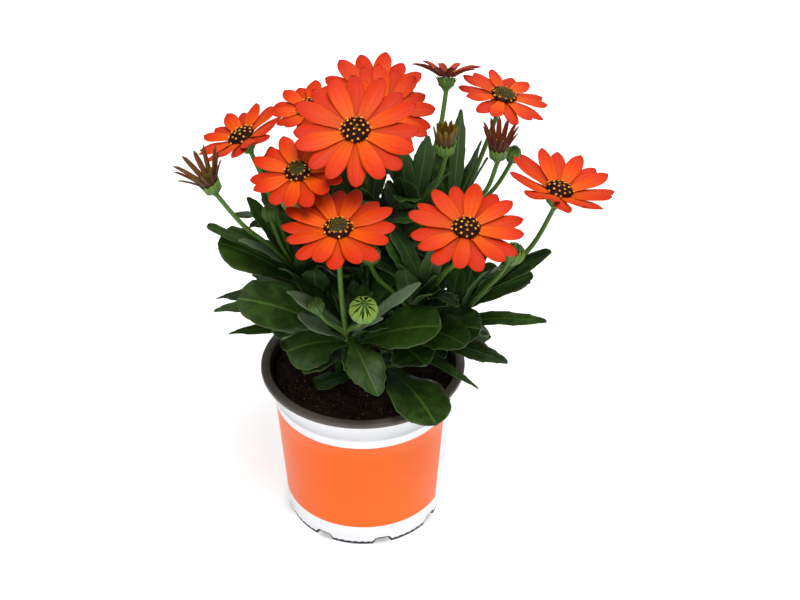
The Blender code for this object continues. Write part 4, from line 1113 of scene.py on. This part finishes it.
def make_disc(bloom, material):
    surface = Surface("tip", "ripe", "tone")
    foot = 0.5 * PETAL_THICKNESS
    dome_height = bloom.disc * DISC_RISE * DOME_SHARE
    add_dome(surface, bloom, foot, dome_height)
    green_share = GREEN_SHARES.get(bloom.name, DEFAULT_GREEN_SHARE)
    rng = random.Random(bloom.name + "-florets")
    dusted_places = []
    for number in range(FLORETS):
        share = math.sqrt((number + 0.5) / FLORETS)
        out = spoke(number * GOLDEN_ANGLE)
        rise = math.sqrt(max(0.0, 1.0 - share ** 2))
        base = out * (bloom.disc * DISC_SHARE * share) + UP * (foot + rise * dome_height - 0.3)
        normal = (UP * (0.55 + rise) + out * (0.85 * share)).normalized()
        ripe = smooth_step(green_share - 0.08, green_share + 0.10, share)
        dusted = ripe > 0.5 and all((base - place).length > POLLEN_SPACING * bloom.disc
                                    for place in dusted_places)
        if dusted:
            dusted_places.append(base)
        height = mix((0.9, 1.2), ripe) * rng.uniform(0.8, 1.2) + (0.6 if dusted else 0.0)
        verts, faces, tip = floret(base, normal, height, FLORET_RADIUS * bloom.disc,
                                   1.55 if dusted else 0.9)
        if ripe > 0.5 and not dusted:
            tip = 0.0
        surface.add(placed_in(verts, bloom), faces, tip=tip, ripe=ripe, tone=rng.random())
    return surface.build(bloom.name + "_disc_fine", material, bloom.name + "_disc")


def shoot_path(shoot):
    """Points from below the soil to the fork, upright at the root."""
    root = Vector((shoot.root[0], shoot.root[1], SOIL_HEIGHT + SOIL_COLLAR))
    fork = vector(shoot.fork)
    climb = fork.z - root.z
    lean = Vector((fork.x - root.x, fork.y - root.y, 0.0)) * STEM_FORK_LEAN
    foot_arm = UP * (STEM_FOOT_RISE * climb)
    fork_arm = UP * (STEM_FORK_RISE * climb) + lean
    return root, root + foot_arm, fork - fork_arm, fork


def stem_point(shoot, along):
    """Point on the axis of a stem's tube in the CAD."""
    points = curve_points(*shoot_path(shoot), STEM_STEPS)
    step = min(int(along * STEM_STEPS), STEM_STEPS - 1)
    return points[step].lerp(points[step + 1], along * STEM_STEPS - step)


def head_stations(name):
    """Centre line and radii of a cup or closed bud, from its stalk up, and its facing."""
    for head in BLOOMS + OPENING_BUDS:
        if head.name == name:
            facing = vector(head.facing).normalized()
            top = vector(head.centre) - facing * (PETAL_THICKNESS + GAP)
            points = [top + facing * (rise * head.ring) for _, rise in CUP_PROFILE]
            return points, [radius * head.ring for radius, _ in CUP_PROFILE], facing
    for bud in CLOSED_BUDS:
        if bud.name == name:
            facing = vector(bud.facing).normalized()
            foot = vector(bud.centre) - facing * (0.5 * bud.length)
            points = [foot + facing * (rise * bud.length) for _, rise in BUD_PROFILE]
            return points, [0.5 * radius * bud.width for radius, _ in BUD_PROFILE], facing
    raise ValueError(name)


def stalk(start, heading, head_name, first_radius):
    """Points and radii of a stalk with its cup or bud, from just after the start point."""
    head_points, head_radii, facing = head_stations(head_name)
    seat = head_points[0] - facing * STALK_STRAIGHT
    reach = (seat - start).length
    points = curve_points(start, start + heading * (STALK_FOOT_REACH * reach),
                          seat - facing * (STALK_HEAD_REACH * reach), seat, STALK_STEPS)[1:]
    radii = [mix((first_radius, STALK_RADIUS), min(1.0, STALK_TAPER * (step + 1)))
             for step in range(len(points))]
    return points + head_points, radii + head_radii


def stem_marks(count, rings, sides, low, high, head_rings, head):
    """Marks of a tube: how light its green is, from its foot to its head."""
    light = []
    along = []
    for ring in range(rings):
        share = ring / (rings - 1)
        light += [head if ring >= rings - head_rings else mix((low, high), share)] * sides
        along += [0.15 + 0.35 * share] * sides
    light += [low, head]
    along += [0.15, 0.5]
    return {"light": light, "along": along, "across": [0.5] * count}


def add_tube(surface, points, radii, low, high, head_rings, head):
    fine_points, fine_radii = smooth_path(points, radii, FINE_STEPS)
    verts, faces = ring_tube(fine_points, fine_radii, FINE_SIDES, ribs=STALK_RIBS)
    marks = stem_marks(len(verts), len(fine_points), FINE_SIDES, low, high, head_rings, head)
    surface.add(verts, flipped(faces), tone=0.5, **marks)


def bract(foot, axis, out, length, lean):
    """Pointed green bract that rises beside an axis and leans out by the given share."""
    across = axis.cross(out).normalized()
    pairs = []
    for share in even_shares(BRACT_ROWS):
        swing = length * lean * math.sin(share * math.pi * 0.5) * share
        centre = foot + axis * (length * share) + out * swing
        half = 0.5 * CUP_BRACT_WIDTH * (1.0 - share ** 2.2) * (0.75 + 0.5 * share) + 0.05
        row = []
        for column in BRACT_COLUMNS:
            point = centre + across * (column * half) - out * (0.25 * half * column ** 2)
            row.append((point - out * BRACT_HALF_THICKNESS, point + out * BRACT_HALF_THICKNESS))
        pairs.append(row)
    return blade(pairs)


def add_cup_bracts(surface, name):
    points, radii, facing = head_stations(name)
    rotation = frame_towards(facing)
    start = points[0].lerp(points[1], CUP_SEAT)
    height, lean = (1.25, 0.18) if name.startswith("opening") else (0.95, 0.42)
    marks = blade_marks(even_shares(BRACT_ROWS), BRACT_COLUMNS)
    rng = random.Random(name + "-bracts")
    for number in range(CUP_BRACTS):
        out = rotation @ spoke(math.tau * (number + rng.uniform(-0.15, 0.15)) / CUP_BRACTS)
        length = radii[2] * height * rng.uniform(0.9, 1.12)
        verts, faces = bract(start + out * (0.98 * radii[1]), facing, out, length, lean)
        surface.add(verts, faces, light=rng.uniform(0.5, 0.8), tone=0.5, **marks)


def bud_bract(bud, profile, layer, facing, out, end):
    """Bract that follows a bud's swelling up to the given share of its length."""
    foot = vector(bud.centre) - facing * (0.5 * bud.length)
    across = facing.cross(out).normalized()
    pairs = []
    for share in even_shares(BUD_BRACT_ROWS):
        rise = share * end
        radius = smooth_table(profile, min(rise, 1.0)) + 0.35 + 0.25 * (1 - layer)
        radius -= max(0.0, rise - 0.9) * 4.0
        half = 0.55 + 0.6 * math.sin(math.pi * min(1.0, share * 1.1))
        half *= 0.5 * BUD_BRACT_WIDTH * bud.width * (1.0 - share ** 3)
        centre = foot + facing * (rise * bud.length)
        row = []
        for column in BRACT_COLUMNS:
            swing = column * (half + 0.05) / max(radius, 0.6)
            away = out * math.cos(swing) + across * math.sin(swing)
            thick = BUD_BRACT_THICKNESS - 0.16 * column ** 2
            row.append((centre + away * (radius - 0.12), centre + away * (radius + thick)))
        pairs.append(row)
    return blade(pairs)


def add_bud_bracts(surface, bud):
    """Two rows of bracts that close over the bud's middle."""
    facing = vector(bud.facing).normalized()
    rotation = frame_towards(facing)
    profile = [(0.0, BUD_FOOT_WIDTH * bud.width)]
    profile += [(rise, 0.5 * radius * bud.width) for radius, rise in BUD_PROFILE]
    marks = blade_marks(even_shares(BUD_BRACT_ROWS), BRACT_COLUMNS)
    light = BUD_LIGHT.get(bud.name, BUD_DULL)
    rng = random.Random(bud.name + "-bracts")
    for layer, reach in enumerate((0.90, 1.06)):
        for number in range(BUD_BRACTS):
            turn = number + 0.5 * layer + rng.uniform(-0.1, 0.1)
            out = rotation @ spoke(math.tau * turn / BUD_BRACTS)
            end = reach * rng.uniform(0.95, 1.05)
            verts, faces = bud_bract(bud, profile, layer, facing, out, end)
            surface.add(verts, faces, light=light, tone=0.5, **marks)


def leaf_spine(base, tip, bow, share):
    middle = (base + tip) * 0.5 + UP * (2.0 * bow)
    rest = 1.0 - share
    return base * rest ** 2 + middle * (2.0 * share * rest) + tip * share ** 2


def leaf_across(base, tip, roll):
    """Direction across a blade: level, then rolled about the leaf's own length."""
    heading = (tip - base).normalized()
    level = UP.cross(heading)
    if level.length < UPRIGHT_LEAN:
        level = Vector((1.0, 0.0, 0.0))
    level.normalize()
    turn = math.radians(roll)
    return level * math.cos(turn) + heading.cross(level) * math.sin(turn)


def leaf_normal(base, tip, bow, share, across):
    step = (leaf_spine(base, tip, bow, share + SPINE_STEP)
            - leaf_spine(base, tip, bow, share - SPINE_STEP))
    return step.cross(across).normalized()


def leaf_corners(base, tip, bow, width, form, roll):
    """Corners of the CAD leaf's tip section and of the section before it."""
    across = leaf_across(base, tip, roll)
    corners = []
    for along, left, right in form[-2:]:
        centre = leaf_spine(base, tip, bow, along)
        thick = leaf_normal(base, tip, bow, along, across) * (0.5 * LEAF_THICKNESS)
        for edge in (across * (0.5 * width * left), across * (-0.5 * width * right)):
            corners += [centre + edge + thick, centre + edge - thick]
    return corners


def spiral_leaf(shoot, number, attempt):
    """A leaf of the stem's spiral. Later attempts turn, tilt and shorten it."""
    rng = random.Random(f"{shoot.name}-{number}-{attempt}")
    share = (number + 0.5) / shoot.leaves
    base = stem_point(shoot, mix((shoot.bare, SPIRAL_END), share))
    outward = math.atan2(shoot.fork[1], shoot.fork[0])
    turn = outward + GOLDEN_ANGLE * number
    turn += rng.uniform(-RETRY_TURN, RETRY_TURN) * (attempt + 1)
    tilt = rng.uniform(-RETRY_RISE, RETRY_RISE) * (1.0 + RETRY_RISE_GROWTH * attempt)
    rise = math.radians(mix(SPIRAL_RISE, share) + tilt)
    length = mix(SPIRAL_LENGTH, share) * (1.0 - RETRY_SHORTENING * attempt)
    length *= rng.uniform(*SPIRAL_LENGTH_SPREAD)
    width = length * mix(SPIRAL_ASPECT, share)
    tip = base + (spoke(turn) * math.cos(rise) + UP * math.sin(rise)) * length
    form = BROAD_PLAIN if share < SPIRAL_BROAD_SHARE else NARROW_PLAIN
    roll = rng.uniform(-SPIRAL_ROLL, SPIRAL_ROLL)
    return base, tip, length * mix(SPIRAL_BOW, share), width, form, roll


def placed_leaf(placed, attempt):
    """A leaf from the table of placed leaves. Later attempts move its tip and root step by step."""
    shoot = next(item for item in SHOOTS if item.name == placed.shoot)
    rng = random.Random(f"{placed.name}-{attempt}")
    reach = RETRY_SHIFT * attempt
    shift = Vector([rng.uniform(-reach, reach) for _ in range(3)])
    slide = RETRY_SLIDE * rng.uniform(-attempt, attempt)
    base = stem_point(shoot, min(SPIRAL_END, max(PLACED_FOOT, placed.along + slide)))
    return base, vector(placed.tip) + shift, placed.bow, placed.width, placed.form, placed.roll


def node_points(name):
    """The points of a CAD node, in a tree that finds the nearest one."""
    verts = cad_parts[name].data.vertices
    tree = kdtree.KDTree(len(verts))
    for vert in verts:
        tree.insert(vert.co / METRES_PER_MM, vert.index)
    tree.balance()
    return tree


def found_leaf(specs, tree):
    """The first of a leaf's tries whose tip corners are points of the CAD node."""
    for spec in specs:
        near = [tree.find(corner)[2] < TIP_MATCH for corner in leaf_corners(*spec)]
        if sum(near) >= CORNERS_MATCHED:
            return spec
    return None


def plain_tree(verts, faces):
    return BVHTree.FromPolygons([tuple(vert) for vert in verts], faces)


def cad_tree():
    """The whole CAD model as one tree, to keep the small leaves clear of it."""
    verts = []
    faces = []
    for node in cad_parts.values():
        start = len(verts)
        verts += [vert.co / METRES_PER_MM for vert in node.data.vertices]
        faces += [tuple(start + corner for corner in face.vertices) for face in node.data.polygons]
    return plain_tree(verts, faces)


def leaf_strip(spec):
    """Flat strip of a leaf's outer part, to test it against what is there."""
    base, tip, bow, width, _, roll = spec
    across = leaf_across(base, tip, roll)
    verts = []
    for share in (FILL_ROOT, 0.5, 0.78, 1.0):
        centre = leaf_spine(base, tip, bow, share)
        half = 0.5 * width * (1.0 if 0.3 < share < 0.9 else 0.5)
        verts += [centre - across * half, centre + across * half]
    faces = [(0, 1, 3, 2), (2, 3, 5, 4), (4, 5, 7, 6)]
    return plain_tree(verts, faces)


def fill_leaves(shoot, taken):
    """Small leaves among the stem's own, clear of the CAD model and of each other."""
    rng = random.Random(shoot.name + "-fill")
    found = []
    for _ in range(FILL_PER_STEM):
        for _ in range(FILL_TRIES):
            base = stem_point(shoot, rng.uniform(*FILL_REACH))
            turn = rng.uniform(0.0, math.tau)
            rise = math.radians(rng.uniform(*FILL_RISE))
            length = rng.uniform(*FILL_LENGTH)
            tip = base + (spoke(turn) * math.cos(rise) + UP * math.sin(rise)) * length
            width = length * rng.uniform(*FILL_ASPECT)
            spec = (base, tip, FILL_BOW * length, width, NARROW, 0.0)
            strip = leaf_strip(spec)
            if not any(strip.overlap(tree) for tree in taken):
                taken.append(strip)
                found.append(spec)
                break
    return found


def leaf_shares():
    """Stations along a leaf, closer together at its tip."""
    return [1.0 - (1.0 - share) ** LEAF_ROW_CROWDING for share in even_shares(LEAF_ROWS)]


def leaf_outline(form, width, share, left):
    """Half width of one side of a leaf, smooth along its length."""
    half = 0.5 * width
    column = 1 if left else 2
    other = 2 if left else 1
    table = [(0.0, LEAF_ROOT_HALF_WIDTH / half)]
    for row in form[:-1]:
        table.append((row[0], 0.62 * row[column] + 0.38 * row[other]))
    table.append((1.0, 0.0))
    value = max(0.0, smooth_table(table, share))
    if share > ROUND_START:
        end = (share - ROUND_START) / (1.0 - ROUND_START)
        round_end = ROUND_ENDS[form] * smooth_table(table, ROUND_START)
        value = max(value, round_end * math.sqrt(max(0.0, 1.0 - end ** 2)))
    return half * value + LEAF_EDGE_HALF_WIDTH


def leaf_tooth(share, teeth, offset, depth):
    """How far a toothed edge stands out: it slopes out and drops behind each tooth."""
    if not TEETH_REACH[0] <= share <= TEETH_REACH[1]:
        return 0.0
    phase = (share * teeth + offset) % 1.0
    return depth * phase ** 2


def add_leaf(surface, spec, key):
    base, tip, bow, width, form, roll = spec
    rng = random.Random(key)
    across = leaf_across(base, tip, roll)
    teeth = 7 if form in (BROAD, BROAD_PLAIN) else 6
    depth = width * TEETH_DEPTHS[form]
    wave = rng.uniform(0.0, math.tau)
    fold = rng.uniform(*FOLD_SPREAD)
    curl = rng.uniform(*CURL_SPREAD)
    pairs = []
    for share in leaf_shares():
        centre = leaf_spine(base, tip, bow, share)
        normal = leaf_normal(base, tip, bow, share, across)
        left = leaf_outline(form, width, share, True) + leaf_tooth(share, teeth, 0.0, depth)
        right = leaf_outline(form, width, share, False) + leaf_tooth(share, teeth, 0.5, depth)
        row = []
        for column in LEAF_COLUMNS:
            half = left if column > 0 else right
            fan = abs(column)
            height = fold * half * (fan - 0.5 * fan ** 2)
            height += 0.05 * width * math.sin(9.0 * share + wave) * fan ** 2 * column
            height += 0.035 * width * math.sin(17.0 * share - 2.0 * fan) * fan ** 2
            height -= 0.04 * curl * width * share ** 2
            rib = math.exp(-(column / RIB_COLUMN) ** 2)
            thick = mix(LEAF_HALF_BLADE, fan) + RIB_DEPTH * rib * (1.0 - 0.8 * share)
            point = centre + across * (column * half) + normal * height
            row.append((point + normal * (thick - 0.5 * rib * (1.0 - share)),
                        point - normal * thick))
        pairs.append(row)
    verts, faces = blade(pairs)
    surface.add(verts, faces, tone=rng.random(), grey=DOWNY if "grey" in key else 0.0,
                **blade_marks(leaf_shares(), LEAF_COLUMNS))


def stem_pieces(shoot):
    """Points and radii of a stem with its tip's stalk, then of each side stalk."""
    p0, p1, p2, p3 = shoot_path(shoot)
    points = curve_points(p0, p1, p2, p3, STEM_STEPS)
    radii = [mix((STEM_RADIUS, STEM_TOP_RADIUS), step / STEM_STEPS)
             for step in range(STEM_STEPS + 1)]
    points.insert(0, Vector((p0.x, p0.y, SOIL_HEIGHT - STEM_DEPTH)))
    radii.insert(0, STEM_RADIUS)
    heading = (p3 - p2).normalized()
    if shoot.tip_head:
        more_points, more_radii = stalk(p3, heading, shoot.tip_head, STEM_TOP_RADIUS)
        points += more_points
        radii += more_radii
    pieces = [(points, radii)]
    for head_name, along in shoot.side_heads:
        start = stem_point(shoot, along)
        seat = head_stations(head_name)[0][0]
        away = ((seat - start).normalized() + heading * STALK_LEAN).normalized()
        points, radii = stalk(start, away, head_name, STALK_RADIUS)
        pieces.append(([start] + points, [STALK_RADIUS] + radii))
    return pieces


def make_stem(shoot, material, taken):
    surface = Surface("along", "across", "side", "tone", "light", "grey")
    heads = [shoot.tip_head] + [name for name, _ in shoot.side_heads]
    for head, (points, radii) in zip(heads, stem_pieces(shoot)):
        low = STEM_LIGHT if head == shoot.tip_head else STALK_LIGHT
        if head and head.startswith("bud"):
            radii = radii[:-4] + [BUD_BODY * radius for radius in radii[-4:]]
            add_tube(surface, points, radii, low, HEAD_LIGHT, 3 * FINE_STEPS, 0.0)
        else:
            add_tube(surface, points, radii, low, HEAD_LIGHT, 0, HEAD_LIGHT)
    heads = [name for name in heads if name]
    for name in heads:
        if name.startswith("bud"):
            add_bud_bracts(surface, next(bud for bud in CLOSED_BUDS if bud.name == name))
        else:
            add_cup_bracts(surface, name)
    tree = node_points(shoot.name)
    for placed in PLACED_LEAVES:
        if placed.shoot == shoot.name:
            spec = found_leaf((placed_leaf(placed, item) for item in range(PLACED_TRIES)), tree)
            if spec:
                add_leaf(surface, spec, placed.name)
    for number in range(shoot.leaves):
        spec = found_leaf((spiral_leaf(shoot, number, item) for item in range(LEAF_TRIES)), tree)
        if spec:
            add_leaf(surface, spec, f"{shoot.name}-{number}")
    for number, spec in enumerate(fill_leaves(shoot, taken)):
        add_leaf(surface, spec, f"{shoot.name}-fill-{number}")
    return surface.build(shoot.name + "_fine", material, shoot.name)


def make_floor():
    """Wide white floor, slightly lit from within as a studio's light table is."""
    mesh = bpy.data.meshes.new("studio_floor")
    corners = [(-FLOOR_HALF, -FLOOR_HALF, 0.0), (FLOOR_HALF, -FLOOR_HALF, 0.0),
               (FLOOR_HALF, FLOOR_HALF, 0.0), (-FLOOR_HALF, FLOOR_HALF, 0.0)]
    mesh.from_pydata(corners, [], [(0, 1, 2, 3)])
    shader = Shader("studio_floor")
    tint = shader.ramp(shader.noise(1.2, 2.0), (0.3, 0.90), (0.7, 0.92))
    mesh.materials.append(shader.finish(tint, 0.9, Emission_Strength=FLOOR_GLOW,
                                        Emission_Color=(1.0, 1.0, 1.0, 1.0)))
    floor = bpy.data.objects.new("studio_floor", mesh)
    bpy.context.scene.collection.objects.link(floor)


def add_light(name, place, size, power):
    """Square soft box that faces the middle of the plant."""
    data = bpy.data.lights.new(name, "AREA")
    data.shape = "SQUARE"
    data.size = size
    data.energy = power
    light = bpy.data.objects.new(name, data)
    light.location = place
    aim = Vector(LIT_POINT) - Vector(place)
    light.rotation_euler = aim.to_track_quat("-Z", "Y").to_euler()
    bpy.context.scene.collection.objects.link(light)


def make_lights():
    for name, place, size, power in LIGHTS:
        add_light(name, place, size, power)
    world = bpy.data.worlds.new("studio")
    world.use_nodes = True
    background = world.node_tree.nodes["Background"]
    background.inputs["Color"].default_value = (1.0, 1.0, 1.0, 1.0)
    background.inputs["Strength"].default_value = WORLD_STRENGTH
    bpy.context.scene.world = world
    bpy.context.scene.view_settings.view_transform = "Standard"


def make_camera():
    data = bpy.data.cameras.new("camera")
    data.lens = CAMERA_LENS
    data.sensor_width = 36.0
    data.clip_start = 0.05
    camera = bpy.data.objects.new("camera", data)
    camera.location = vector(CAMERA_PLACE) * METRES_PER_MM
    camera.rotation_euler = (math.pi / 2.0 - CAMERA_PITCH, 0.0, 0.0)
    bpy.context.scene.collection.objects.link(camera)
    bpy.context.scene.camera = camera


def main():
    make_camera()
    make_lights()
    make_floor()
    make_pot()
    make_soil()
    green = leaf_material()
    petal = petal_material()
    spike = spike_material()
    disc = disc_material()
    taken = [cad_tree()]
    for shoot in SHOOTS:
        make_stem(shoot, green, taken)
    for bloom in BLOOMS + OPENING_BUDS:
        if bloom in OPENING_BUDS or bloom.name == "bloom_11":
            make_spikes(bloom, spike)
        else:
            make_open_petals(bloom, petal)
        make_disc(bloom, disc)


main()
